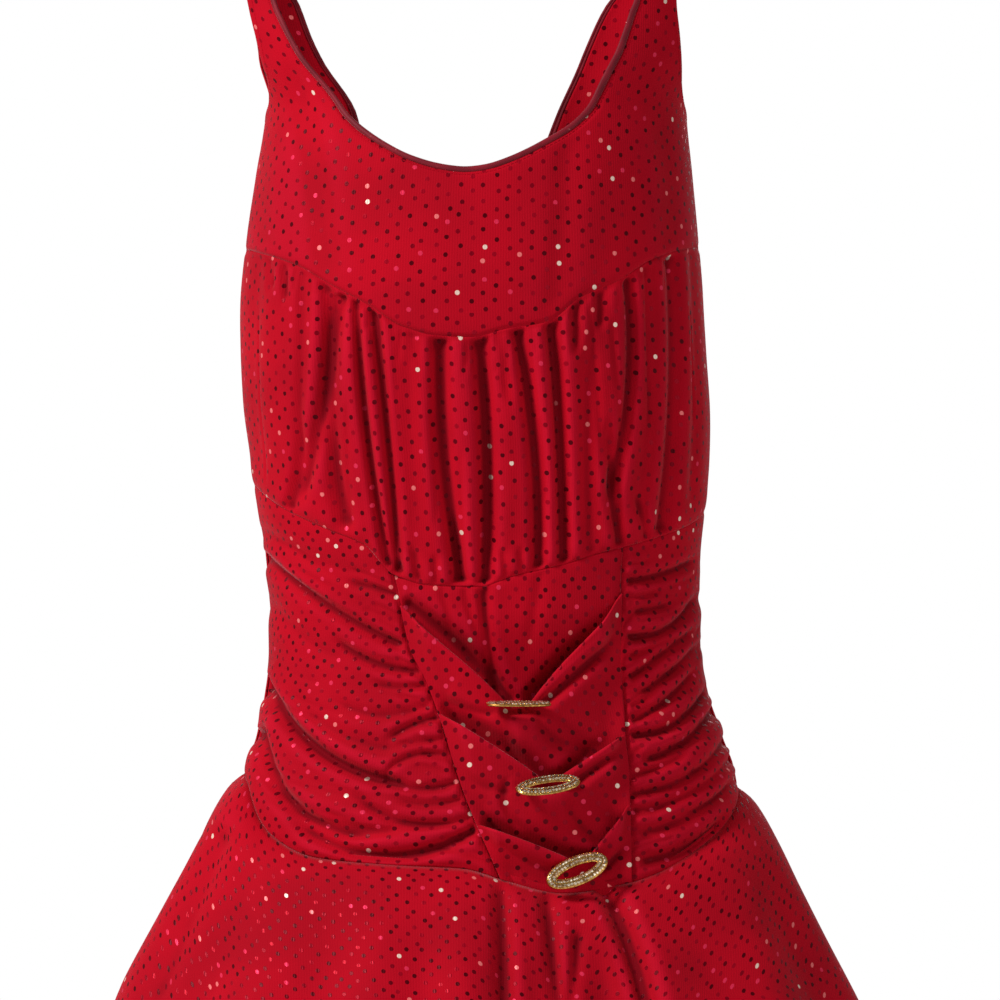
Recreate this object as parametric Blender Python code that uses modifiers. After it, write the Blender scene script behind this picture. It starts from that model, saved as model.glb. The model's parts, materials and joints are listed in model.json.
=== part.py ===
"""Leotard dress, filled out as worn: a scooped yoke on two straps, a gathered bust, ruched sides,
three drapes drawn in by oval rings, a deep V back, a flared skirt and the leotard's brief.

Units are metres, +Z up. The front faces -Y and the origin is midway between the straps' tops.
A place on the garment is an angle round the figure, in degrees from the front towards +X, and a
drop, in millimetres below the straps' tops.
"""

import functools
import math
from collections import namedtuple

import bmesh
import bpy
from mathutils import Matrix, Vector

MM = 0.001

# Cloth and seams, in millimetres
WALL = 1.5
SEAM_GAP = 0.44
BINDING_WIDTH = 4.0
BINDING_WALL = 2.2
SIDE = 92.0
BACK_CENTRE = 180.0

# How square the figure's sections are: 2 is an ellipse
SQUARENESS = 2.3

# One millimetre round the figure at its mean radius, in degrees
DEGREES_PER_MM = math.degrees(1.0 / 150.0)

Section = namedtuple("Section", "drop half_width front back middle")
FIGURE = (
    Section(0, 168, 0.5, 0.5, 0),
    Section(2, 168, 14, 14, 0),
    Section(9, 168, 29, 28, 0),
    Section(20, 168, 41, 40, 0),
    Section(36, 168, 52, 50, 0),
    Section(56, 168, 62, 59, 0),
    Section(78, 168, 71, 68, 0),
    Section(102, 166, 80, 76, 1),
    Section(140, 158, 92, 84, 6),
    Section(177, 143, 101, 88, 11),
    Section(218, 148, 109, 89, 9.5),
    Section(266, 153.5, 116, 88, 8.5),
    Section(306, 157, 119, 86, 8),
    Section(340, 158, 118, 84, 9),
    Section(374, 158.5, 113, 81, 11),
    Section(415, 156, 105, 77, 13.5),
    Section(449, 152, 98, 74, 14.5),
    Section(480, 148, 92, 72, 15.5),
    Section(510, 146.5, 88, 71, 16.5),
    Section(544, 147, 86, 73, 17),
    Section(573, 151, 88, 79, 18),
    Section(602, 159, 92, 88, 20),
    Section(624, 166, 95, 95, 20.5),
    Section(660, 172, 99, 104, 20),
    Section(710, 174, 102, 110, 20),
    Section(900, 174, 102, 110, 20),
)

# Drops at which the straps' rows lie, from their tops down
STRAP_DROPS = (0, 2, 9, 20, 36, 56, 78)

# The yoke is a band: each row runs across it, from the neck to its outer edge. The outer edge
# turns a corner where corner is set. An edge_drop of None lies on the yoke seam
Row = namedtuple("Row", "neck_angle neck_drop edge_angle edge_drop corner", defaults=(False,))
YOKE = (
    *(Row(-44.5, drop, -59, drop) for drop in STRAP_DROPS),
    Row(-46.2, 102, -57.5, 104),
    Row(-45, 122, -58.5, 126),
    Row(-43.3, 141, -61, 145),
    Row(-41.3, 157, -67, 161),
    Row(-38.6, 171, -78, 175),
    Row(-35.3, 182, -SIDE, 186, True),
    Row(-32.4, 188, -SIDE, 229),
    Row(-29.3, 193.5, -SIDE, None, True),
    Row(-25.5, 199.5, -76, None),
    Row(-21.6, 205, -60, None),
    Row(-18, 209.5, -46, None),
    Row(-14.4, 213, -35, None),
    Row(-10.5, 216, -25, None),
    Row(-6, 218.2, -14, None),
    Row(-1.5, 219, -3, None),
    Row(4, 217, 8, None),
    Row(9.5, 212, 18.5, None),
    Row(14.5, 206, 27, None),
    Row(18.8, 200, 37, None),
    Row(22.6, 194.6, 48, None),
    Row(26, 188.8, 62, None),
    Row(28.6, 182.8, 77, None),
    Row(30.6, 177, SIDE, None, True),
    Row(32.2, 169.5, SIDE, 229),
    Row(33.6, 160.5, SIDE, 186, True),
    Row(35.1, 151, 79, 175),
    Row(37, 140, 69, 161),
    Row(39, 126.5, 63, 145),
    Row(40.8, 114, 60, 126),
    Row(42.5, 102, 57.8, 104),
    *(Row(42.5, drop, 58.5, drop) for drop in reversed(STRAP_DROPS)),
)

# The upper back is such a band too, from the right strap round the V to the left one. An edge_drop
# of None lies on the empire seam, which runs on round the back
BACK = (
    *(Row(137.5, drop, 121.5, drop) for drop in STRAP_DROPS),
    Row(145, 102, 122.5, 104),
    Row(150.5, 130, 120.5, 130),
    Row(154.5, 156, 114, 152),
    Row(158.5, 180, 104, 173),
    Row(162, 203, SIDE, 186, True),
    Row(164.8, 224, SIDE, 270),
    Row(167.3, 245, SIDE, 360),
    Row(169.8, 265, SIDE, None, True),
    Row(172.3, 284, 104, None),
    Row(174.8, 301, 118, None),
    Row(177, 313, 133, None),
    Row(179.3, 321, 148, None),
    Row(181.6, 327, 163.5, None),
    Row(184, 329, BACK_CENTRE, None),
    Row(186.4, 327, 196.5, None),
    Row(188.7, 321, 212, None),
    Row(191, 313, 227, None),
    Row(193.6, 301, 242, None),
    Row(196.8, 284, 256, None),
    Row(200, 265, 360 - SIDE, None, True),
    Row(203.3, 245, 360 - SIDE, 360),
    Row(206.5, 224, 360 - SIDE, 270),
    Row(210, 203, 360 - SIDE, 186, True),
    Row(213.2, 180, 256, 173),
    Row(216, 156, 246, 152),
    Row(218.4, 130, 240, 130),
    Row(220, 102, 238.5, 104),
    *(Row(224.5, drop, 239, drop) for drop in reversed(STRAP_DROPS)),
)

# Columns of cloth between two of a band's rows where they end on a seam
SEAM_STEPS = 2

# Seams that run round the figure: the drop at each angle
Seam = namedtuple("Seam", "angle drop")
YOKE_SEAM = (
    Seam(-SIDE, 272), Seam(-76, 273), Seam(-60, 277), Seam(-46, 285), Seam(-35, 298.5),
    Seam(-25, 312), Seam(-17, 326), Seam(-8, 332.5), Seam(0, 333.4), Seam(8, 328),
    Seam(18.5, 323), Seam(27, 306.5), Seam(37, 295.5), Seam(48, 281), Seam(62, 273.5),
    Seam(77, 271), Seam(SIDE, 270),
)
EMPIRE_SEAM = (
    Seam(-SIDE, 431), Seam(-78, 434), Seam(-55, 450), Seam(-40, 463), Seam(-31, 472),
    Seam(-23.5, 492), Seam(-14, 499), Seam(-2, 500), Seam(9, 492), Seam(21, 485),
    Seam(30, 478), Seam(38, 473.5), Seam(55, 464), Seam(78, 453), Seam(SIDE, 449), Seam(120, 450),
    Seam(150, 454), Seam(BACK_CENTRE, 455), Seam(210, 450), Seam(240, 440), Seam(360 - SIDE, 431),
)
SKIRT_SEAM = (
    Seam(-SIDE, 627), Seam(-75, 634), Seam(-54, 669), Seam(-40, 682), Seam(-20, 686.5),
    Seam(-6, 688.5), Seam(4, 697), Seam(16, 705), Seam(32, 698), Seam(58, 668),
    Seam(76, 648), Seam(SIDE, 637), Seam(110, 655), Seam(130, 674), Seam(154, 687),
    Seam(BACK_CENTRE, 690), Seam(206, 686), Seam(230, 672), Seam(250, 650), Seam(360 - SIDE, 627),
)

# Seams that run down the front, on each side of the middle panel
CENTRE_LEFT_SEAM = (
    Seam(-23.5, 492), Seam(-19.6, 541), Seam(-15.2, 564), Seam(-12.4, 584), Seam(-8.6, 617),
    Seam(-6.3, 635), Seam(-3.3, 656), Seam(-0.5, 675), Seam(2.5, 695.5),
)
CENTRE_RIGHT_SEAM = (
    Seam(38, 473.5), Seam(37.3, 506), Seam(36.6, 537), Seam(35.4, 578), Seam(33.4, 605),
    Seam(32.2, 646), Seam(32, 680), Seam(32, 698),
)

# Cells of cloth across each panel below the empire seam, and down its side seams
LEFT_CELLS, CENTRE_CELLS, RIGHT_CELLS, BACK_CELLS, DOWN_CELLS = 10, 14, 8, 24, 10

# How much finer the gathered bust and the skirt are than the panels they meet
BUST_FINER = (3, 2, 3)
SKIRT_FINER = (3, 1, 3)
BACK_SKIRT_CELLS = 48

# What the skirt's back is held off its front at the side seams, in degrees
SKIRT_SIDE_GAP = 0.15

# Stops round the figure, with the cells between each and the one before it: the two sides of a
# seam share their corners there
Stop = namedtuple("Stop", "angle cells")
EMPIRE_STOPS = (
    Stop(-SIDE, 0), Stop(-23.5, LEFT_CELLS), Stop(38, CENTRE_CELLS), Stop(SIDE, RIGHT_CELLS),
    Stop(360 - SIDE, BACK_CELLS),
)
SKIRT_STOPS = (
    Stop(-SIDE, 0), Stop(2.5, LEFT_CELLS), Stop(32, CENTRE_CELLS), Stop(SIDE, RIGHT_CELLS),
    Stop(360 - SIDE, BACK_CELLS),
)

# Folds: each is a soft trough along a bowed line, between shoulders that rise by this share of it
SHOULDER = 0.45
Fold = namedtuple("Fold", "angle_a drop_a angle_b drop_b bow depth width")
GATHERS = (
    Fold(-72, 276, -76, 425, 0, 2.5, 7),
    Fold(-52, 284, -53, 440, 0, 3.5, 7),
    Fold(-37, 300, -44, 452, 2, 6, 6),
    Fold(-31, 308, -36, 462, -1, 6.5, 6),
    Fold(-26.5, 318, -26, 478, 0, 4.5, 4.5),
    Fold(-21, 330, -23, 484, 0, 5, 4.5),
    Fold(-14, 336, -15, 492, 0, 2.5, 5),
    Fold(-7.2, 338, -8.5, 496, 0, 6, 5.5),
    Fold(2, 338, 1, 496, 0, 4, 5),
    Fold(12, 333, 14, 486, 0, 5, 5),
    Fold(19.5, 328, 20.5, 482, 0, 5, 5),
    Fold(26.5, 314, 27, 430, 0, 3.5, 4.5),
    Fold(33, 304, 35.5, 468, 0, 4.5, 5),
    Fold(40.5, 296, 38.8, 468, 0, 4.5, 5),
    Fold(57.5, 282, 53, 458, 2, 5, 7),
    Fold(75, 276, 72, 446, 0, 3, 7),
)
LEFT_RUCHING = (
    Fold(-88, 481, -20, 544, -4, 5, 6),
    Fold(-60, 456, -24, 500, 3, 3, 6),
    Fold(-80, 520, -19, 563, 3, 4, 7),
    Fold(-88, 548, -14, 590, 6, 4.5, 7),
    Fold(-86, 572, -12, 634, 10, 6, 7),
    Fold(-84, 600, -8, 648, 14, 5, 6),
    Fold(-74, 622, -4, 664, 16, 5.5, 6),
    Fold(-52, 664, -2, 678, 8, 3.5, 5),
)
RIGHT_RUCHING = (
    Fold(41, 499, 88, 478, 2, 4.5, 6),
    Fold(40, 531, 88, 505, 4, 5, 6),
    Fold(40, 555, 88, 527, 6, 4.5, 6),
    Fold(39, 577, 88, 545, 8, 5, 7),
    Fold(36, 600, 88, 575, 6, 5.5, 6),
    Fold(36, 622, 88, 600, 6, 5, 6),
    Fold(36, 645, 88, 618, 8, 5, 6),
    Fold(36, 672, 80, 636, 10, 4, 5),
)
BACK_CREASES = (
    Fold(100, 470, 150, 486, 8, 3, 8),
    Fold(96, 512, 160, 530, 8, 4, 9),
    Fold(98, 556, 150, 574, 10, 4, 9),
    Fold(96, 606, 140, 628, 8, 3, 9),
    Fold(262, 474, 205, 492, 8, 3, 8),
    Fold(264, 520, 200, 536, 8, 4, 9),
    Fold(262, 562, 208, 582, 10, 4, 9),
    Fold(264, 604, 222, 630, 8, 3, 9),
)

# The three drapes lie on the middle panel. The tops and feet are drops on its side seams, and
# the tip is where the top edge dips to, below which the cloth swells out under the ring. A foot
# of None lies on the skirt seam
Drape = namedtuple(
    "Drape", "name left_top left_foot right_top right_foot tip_angle tip_drop foot_dip swell_drop swell"
)
DRAPES = (
    Drape("upper", 514, 603, 506, 622, 8.0, 583.5, 32, 583.5, 9.0),
    Drape("middle", 586, 674, 607, 662, 13.5, 630.0, 18, 632.0, 9.0),
    Drape("lower", 660, None, 646, None, 19.6, 684.0, 0, 686.0, 3.0),
)
DRAPE_OUT = 4.3
DRAPE_TUCKED = 2.1
DRAPE_ROLL = 4.5
TIP_HALF_WIDTH = 5.0
PINCH_WIDTH = 28.0
SWELL_WIDTH = 16.0
SWELL_RISE = 8.0
SWELL_FADE = 20.0

# The rings: lean is how far the ring leans out from lying on the cloth, roll lifts its +X end
Ring = namedtuple("Ring", "name angle drop out lean roll")
RINGS = (
    Ring("upper", 7.7, 581.0, 15.3, 87, 0),
    Ring("middle", 12.8, 634.3, 14.4, 58, 8),
    Ring("lower", 18.9, 690.2, 9.2, 22, 22),
)
RING_LENGTH = 44.0
RING_HEIGHT = 21.0
RING_BAND = 5.6
RING_THICKNESS = 3.4

# The skirt flares from its seam: how far out it stands at each distance below the seam
Flare = namedtuple("Flare", "below out")
FLARE = (
    Flare(0, 0), Flare(8, 10), Flare(18, 18), Flare(37, 30), Flare(61, 43), Flare(92, 60),
    Flare(136, 84), Flare(155, 93), Flare(260, 142),
)
HEM_DROP = 880.0

# The skirt's folds: the angle of each at the seam and at the hem, its depth there and its width
Flute = namedtuple("Flute", "seam_angle hem_angle depth width")
FLUTES = (
    Flute(-92, -92, 14, 8), Flute(-57, -59, 13, 8), Flute(-33, -30, 9, 8), Flute(-13, -14, 8, 6),
    Flute(2, 2, 10, 4.5), Flute(10.5, 11, 12, 4.5), Flute(20.5, 26, 22, 6.5), Flute(44, 47, 10, 8),
    Flute(66, 69, 12, 8), Flute(92, 92, 14, 8), Flute(114, 114, 17, 9), Flute(136, 137, 18, 9),
    Flute(158, 158, 17, 9), Flute(180, 181, 19, 9), Flute(202, 202, 17, 9), Flute(224, 223, 18, 9),
    Flute(246, 246, 17, 9),
)

# The brief: how it hangs in the skirt, with its side gap in degrees, its crotch and its fullness
BRIEF_TUCK = 5.0
BRIEF_INSET = 2.6
BRIEF_SIDE_GAP = 0.25
BRIEF_SIDE_DROP = 712.0
CROTCH_DROP = 806.0
CROTCH_HALF_WIDTH = 34.0
CROTCH_GAP = 1.0
GROIN_DEPTH = 78.0
FLANK_DEPTH = 66.0
BRIEF_FULLNESS = 0.94


def read(rows, key, column, value):
    """Smooth reading of one column of a table at a value of its key column, which rises."""
    keys = [getattr(row, key) for row in rows]
    heights = [getattr(row, column) for row in rows]
    value = min(max(value, keys[0]), keys[-1])
    i = max(0, min(len(keys) - 2, sum(k <= value for k in keys) - 1))
    slopes = [(heights[j + 1] - heights[j]) / (keys[j + 1] - keys[j]) for j in range(len(keys) - 1)]

    def tangent(j):
        before, after = slopes[max(j - 1, 0)], slopes[min(j, len(slopes) - 1)]
        return 0.0 if before * after <= 0 else 2 * before * after / (before + after)

    span = keys[i + 1] - keys[i]
    t = (value - keys[i]) / span
    return (
        heights[i] * (1 + 2 * t) * (1 - t) ** 2
        + heights[i + 1] * t * t * (3 - 2 * t)
        + span * tangent(i) * t * (1 - t) ** 2
        - span * tangent(i + 1) * t * t * (1 - t)
    )


def mix(a, b, t):
    return a + (b - a) * t


def ease(t):
    """0 to 1 with a soft start and end."""
    t = min(max(t, 0.0), 1.0)
    return t * t * (3 - 2 * t)


def figure_point(angle, drop):
    """The point on the figure, in millimetres."""
    sine, cosine = math.sin(math.radians(angle)), math.cos(math.radians(angle))
    reach = (abs(sine) ** SQUARENESS + abs(cosine) ** SQUARENESS) ** (-1 / SQUARENESS)
    depth = read(FIGURE, "drop", "front" if cosine > 0 else "back", drop)
    across = read(FIGURE, "drop", "middle", drop) + read(FIGURE, "drop", "half_width", drop) * reach * sine
    return Vector((across, -depth * reach * cosine, -drop))


def figure_normal(angle, drop):
    """The direction straight out of the figure there."""
    step = 1.0
    round_it = figure_point(angle + step, drop) - figure_point(angle - step, drop)
    down = figure_point(angle, drop + step) - figure_point(angle, max(drop - step, 0))
    return round_it.cross(-down).normalized()


def cloth_point(angle, drop, out=0.0):
    """The point on the garment, moved out from the figure."""
    return figure_point(angle, drop) + figure_normal(angle, drop) * out


def skirt_point(angle, below):
    """The point on the skirt, at an angle round it and a distance below its seam."""
    seam = seam_drop(SKIRT_SEAM, SKIRT_STOPS, angle)
    base = figure_point(angle, seam)
    level = figure_normal(angle, seam)
    level.z = 0.0
    share = below / (HEM_DROP - seam)
    out = read(FLARE, "below", "out", below)
    for flute in FLUTES:
        away = (angle - mix(flute.seam_angle, flute.hem_angle, share) + 180) % 360 - 180
        out -= flute.depth * share ** 1.2 * math.exp(-((away / flute.width) ** 2))
    return Vector((base.x, base.y, -seam - below)) + level.normalized() * out


def fold_out(folds, angle, drop):
    """How far the folds move the cloth out at a place, which is inwards in a trough."""
    out = 0.0
    for fold in folds:
        run_x = (fold.angle_b - fold.angle_a) / DEGREES_PER_MM
        run_y = fold.drop_b - fold.drop_a
        from_x = (angle - fold.angle_a) / DEGREES_PER_MM
        from_y = drop - fold.drop_a
        length = math.hypot(run_x, run_y)
        along = (from_x * run_x + from_y * run_y) / length ** 2
        aside = (from_y * run_x - from_x * run_y) / length * math.copysign(1, run_x or 1)
        aside -= fold.bow * 4 * along * (1 - along)
        ends = ease(along * 6 + 0.4) * ease((1 - along) * 6 + 0.4)
        away = (aside / fold.width) ** 2
        out -= fold.depth * ends * (math.exp(-away) - SHOULDER * math.exp(-away / 4))
    return out


def patch(left, right, top, bottom):
    """A blend of four seams, as a function of two shares that gives the angle and the drop."""
    corners = (top(0.0), top(1.0), bottom(0.0), bottom(1.0))

    def place(u, v):
        sides = (left(v), right(v), top(u), bottom(u))
        return tuple(
            mix(sides[0][k], sides[1][k], u)
            + mix(sides[2][k], sides[3][k], v)
            - mix(mix(corners[0][k], corners[1][k], u), mix(corners[2][k], corners[3][k], u), v)
            for k in (0, 1)
        )

    return place


def spread(stops, share, finer=(1, 1, 1)):
    """The angle at a share of all the cells between stops, each span being cut finer or not."""
    counts = [0]
    for stop, times in zip(stops[1:], finer):
        counts.append(counts[-1] + stop.cells * times)
    place = share * counts[-1]
    i = max(0, min(len(counts) - 2, sum(count <= place + 1e-9 for count in counts) - 1))
    return mix(stops[i].angle, stops[i + 1].angle, (place - counts[i]) / (counts[i + 1] - counts[i]))


def seam_drop(seam, stops, angle):
    """A seam's drop at an angle, straight between the corners that its two sides share."""
    i = max(0, min(len(stops) - 2, sum(stop.angle <= angle + 1e-9 for stop in stops) - 1))
    start, end, cells = stops[i].angle, stops[i + 1].angle, stops[i + 1].cells
    place = (angle - start) / (end - start) * cells
    cell = min(int(place + 1e-9), cells - 1)
    low, high = (
        read(seam, "angle", "drop", mix(start, end, corner / cells)) for corner in (cell, cell + 1)
    )
    return mix(low, high, place - cell)


def round_seam(seam, stops, start, end):
    """The stretch of a seam between two angles."""

    def place(t):
        angle = mix(start, end, t)
        return angle, seam_drop(seam, stops, angle)

    return place


def side_angle(seam, drop):
    """The angle of a seam that runs down, straight between the corners that its sides share."""
    top, foot = seam[0].drop, seam[-1].drop
    place = (drop - top) / (foot - top) * DOWN_CELLS
    cell = min(max(int(place + 1e-9), 0), DOWN_CELLS - 1)
    low, high = (
        read(seam, "drop", "angle", mix(top, foot, corner / DOWN_CELLS)) for corner in (cell, cell + 1)
    )
    return mix(low, high, place - cell)


def down_seam(seam, start, end):
    """The stretch of a seam that runs down, between two drops."""

    def place(t):
        drop = mix(start, end, t)
        return side_angle(seam, drop), drop

    return place


def straight(angle, start, end):
    """A straight line down the side."""
    return lambda t: (angle, mix(start, end, t))


def band_row(rows, station, seam):
    """The neck's and the outer edge's places at a station, which is a row number with a share."""
    i = min(int(station), len(rows) - 2)
    t = station - i
    a, b = rows[i], rows[i + 1]
    before = a if a.corner or i == 0 else rows[i - 1]
    after = b if b.corner or i + 2 == len(rows) else rows[i + 2]

    def smooth(column, previous, following):
        p0, p1, p2, p3 = (getattr(row, column) for row in (previous, a, b, following))
        return p1 + 0.5 * t * (p2 - p0 + t * (2 * p0 - 5 * p1 + 4 * p2 - p3 + t * (3 * (p1 - p2) + p3 - p0)))

    neck = tuple(
        smooth(column, rows[max(i - 1, 0)], rows[min(i + 2, len(rows) - 1)])
        for column in ("neck_angle", "neck_drop")
    )
    angle = smooth("edge_angle", before, after)
    if a.edge_drop is None and b.edge_drop is None:
        return neck, (angle, read(seam, "angle", "drop", angle))
    drops = [
        read(seam, "angle", "drop", row.edge_angle) if row.edge_drop is None else row.edge_drop
        for row in (a, b)
    ]
    return neck, (angle, mix(drops[0], drops[1], t))


def stations_of(rows):
    """The band's stations: its row numbers, with more between them where a seam runs round."""
    stations = []
    for i, (a, b) in enumerate(zip(rows, rows[1:])):
        steps = SEAM_STEPS if a.edge_drop is None and b.edge_drop is None else 1
        stations += [i + step / steps for step in range(steps)]
    return stations + [len(rows) - 1]


@functools.cache
def band_corners(rows, seam):
    """The places where a band's columns meet its seam."""
    return [
        band_row(rows, station, seam)[1]
        for station in stations_of(rows)
        if rows[int(station)].edge_drop is None
    ]


def band_drop(rows, seam, angle):
    """A seam's drop at an angle, straight between a band's own corners on it."""
    corners = band_corners(rows, seam)
    for (angle_a, drop_a), (angle_b, drop_b) in zip(corners, corners[1:]):
        if angle <= angle_b:
            return mix(drop_a, drop_b, (angle - angle_a) / (angle_b - angle_a))
    return corners[-1][1]


def bind_share(neck, edge):
    """The share of a band's row that the binding takes."""
    return BINDING_WIDTH / (figure_point(*edge) - figure_point(*neck)).length


def material(name, colour, roughness, metallic=0.0):
    made = bpy.data.materials.new(name)
    made.use_nodes = True
    shader = made.node_tree.nodes["Principled BSDF"]
    shader.inputs["Base Color"].default_value = (*colour, 1.0)
    shader.inputs["Roughness"].default_value = roughness
    shader.inputs["Metallic"].default_value = metallic
    return made


def add_object(name, mesh, finish, collection):
    for polygon in mesh.polygons:
        polygon.use_smooth = True
    made = bpy.data.objects.new(name, mesh)
    mesh.materials.append(finish)
    collection.objects.link(made)
    return made


def draw_in(grid, columns, rows):
    """Draws the border of a grid of points in by half the gap that seams keep."""

    def inward(edge, inner, tangent):
        way = inner - edge
        way -= tangent * way.dot(tangent)
        return edge + way.normalized() * SEAM_GAP / 2

    moved = {}
    for i in range(columns + 1):
        tangent_of = {}
        for j, k in ((0, 1), (rows, rows - 1)):
            tangent_of[j] = (grid[min(i + 1, columns), j] - grid[max(i - 1, 0), j]).normalized()
            moved[i, j] = inward(grid[i, j], grid[i, k], tangent_of[j])
    for j in range(rows + 1):
        for i, k in ((0, 1), (columns, columns - 1)):
            tangent = (grid[i, min(j + 1, rows)] - grid[i, max(j - 1, 0)]).normalized()
            start = moved.get((i, j), grid[i, j])
            moved[i, j] = start + inward(grid[i, j], grid[k, j], tangent) - grid[i, j]
    grid.update(moved)


def add_cloth(name, place, columns, rows, finish, collection, wall=WALL):
    """A panel: a grid laid on the points that place(u, v) gives, then given its wall inwards."""
    shape = bmesh.new()
    bmesh.ops.create_grid(shape, x_segments=columns, y_segments=rows, size=0.5)
    key = {v: (round((v.co.x + 0.5) * columns), round((0.5 - v.co.y) * rows)) for v in shape.verts}
    grid = {(i, j): place(i / columns, j / rows) for i, j in key.values()}
    draw_in(grid, columns, rows)
    for vertex, (i, j) in key.items():
        vertex.co = grid[i, j] * MM
    mesh = bpy.data.meshes.new(name)
    shape.to_mesh(mesh)
    shape.free()
    made = add_object(name, mesh, finish, collection)
    solidify = made.modifiers.new("Wall", "SOLIDIFY")
    solidify.thickness = wall * MM
    solidify.offset = -1.0
    return made


def on_figure(place, folds=(), fade=0.15):
    """Puts a patch on the figure with its folds, which fade out towards its seams."""

    def point(u, v):
        angle, drop = place(u, v)
        inside = ease(min(u, 1 - u) / fade) * ease(min(v, 1 - v) / fade)
        return cloth_point(angle, drop, fold_out(folds, angle, drop) * inside)

    return point


def band_point(rows, seam):
    """A band's panel, from the binding to its outer edge."""
    stations = stations_of(rows)

    def point(u, v):
        neck, edge = band_row(rows, stations[round(u * (len(stations) - 1))], seam)
        share = mix(bind_share(neck, edge), 1.0, v)
        return cloth_point(*(mix(neck[k], edge[k], share) for k in (0, 1)))

    return point


def binding_point(rows, seam):
    """The binding, a narrow strip between the neck's edge and the panel."""
    stations = stations_of(rows)

    def point(u, v):
        neck, edge = band_row(rows, stations[round(u * (len(stations) - 1))], seam)
        share = bind_share(neck, edge) * v
        angle, drop = (mix(neck[k], edge[k], share) for k in (0, 1))
        return cloth_point(angle, drop, (BINDING_WALL - WALL) / 2)

    return point


def add_bodice(fabric, trim, collection):
    """The yoke, the gathered bust, the back and the neck's binding."""
    for name, side, rows, seam, cells in (
        ("front_yoke", "front", YOKE, YOKE_SEAM, 5),
        ("back_panel", "back", BACK, EMPIRE_SEAM, 7),
    ):
        columns = len(stations_of(rows)) - 1
        add_cloth(name, band_point(rows, seam), columns, cells, fabric, collection)
        binding = binding_point(rows, seam)
        add_cloth("neck_binding_" + side, binding, columns, 1, trim, collection, BINDING_WALL)

    def bust_angle(t):
        return spread(EMPIRE_STOPS, t, BUST_FINER)

    edges = patch(
        straight(-SIDE, YOKE_SEAM[0].drop, EMPIRE_SEAM[0].drop),
        straight(SIDE, YOKE_SEAM[-1].drop, seam_drop(EMPIRE_SEAM, EMPIRE_STOPS, SIDE)),
        lambda t: (bust_angle(t), band_drop(YOKE, YOKE_SEAM, bust_angle(t))),
        lambda t: (bust_angle(t), seam_drop(EMPIRE_SEAM, EMPIRE_STOPS, bust_angle(t))),
    )
    columns = sum(stop.cells * times for stop, times in zip(EMPIRE_STOPS[1:], BUST_FINER))
    add_cloth("front_bust", on_figure(edges, GATHERS), columns, 6, fabric, collection)


def add_sides(fabric, collection):
    """The ruched side panels, the plain one between them and the lower back."""
    left, right = CENTRE_LEFT_SEAM, CENTRE_RIGHT_SEAM
    rounds = (EMPIRE_SEAM, EMPIRE_STOPS), (SKIRT_SEAM, SKIRT_STOPS)
    side_left = patch(
        straight(-SIDE, EMPIRE_SEAM[0].drop, SKIRT_SEAM[0].drop),
        down_seam(left, left[0].drop, left[-1].drop),
        round_seam(EMPIRE_SEAM, EMPIRE_STOPS, -SIDE, left[0].angle),
        round_seam(SKIRT_SEAM, SKIRT_STOPS, -SIDE, left[-1].angle),
    )
    side_right = patch(
        down_seam(right, right[0].drop, right[-1].drop),
        straight(SIDE, *(seam_drop(seam, stops, SIDE) for seam, stops in rounds)),
        round_seam(EMPIRE_SEAM, EMPIRE_STOPS, right[0].angle, SIDE),
        round_seam(SKIRT_SEAM, SKIRT_STOPS, right[-1].angle, SIDE),
    )
    centre = patch(
        down_seam(left, left[0].drop, left[-1].drop),
        down_seam(right, right[0].drop, right[-1].drop),
        round_seam(EMPIRE_SEAM, EMPIRE_STOPS, left[0].angle, right[0].angle),
        round_seam(SKIRT_SEAM, SKIRT_STOPS, left[-1].angle, right[-1].angle),
    )
    back = patch(
        straight(SIDE, *(seam_drop(seam, stops, SIDE) for seam, stops in rounds)),
        straight(360 - SIDE, EMPIRE_SEAM[-1].drop, SKIRT_SEAM[-1].drop),
        round_seam(EMPIRE_SEAM, EMPIRE_STOPS, SIDE, 360 - SIDE),
        round_seam(SKIRT_SEAM, SKIRT_STOPS, SIDE, 360 - SIDE),
    )
    folded = 3 * DOWN_CELLS
    add_cloth("side_panel_left", on_figure(side_left, LEFT_RUCHING), LEFT_CELLS, folded, fabric, collection)
    add_cloth("side_panel_right", on_figure(side_right, RIGHT_RUCHING), RIGHT_CELLS, folded, fabric, collection)
    add_cloth("front_centre", on_figure(centre), CENTRE_CELLS, DOWN_CELLS, fabric, collection)
    add_cloth("back_midriff", on_figure(back, BACK_CREASES), BACK_CELLS, DOWN_CELLS, fabric, collection)


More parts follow.
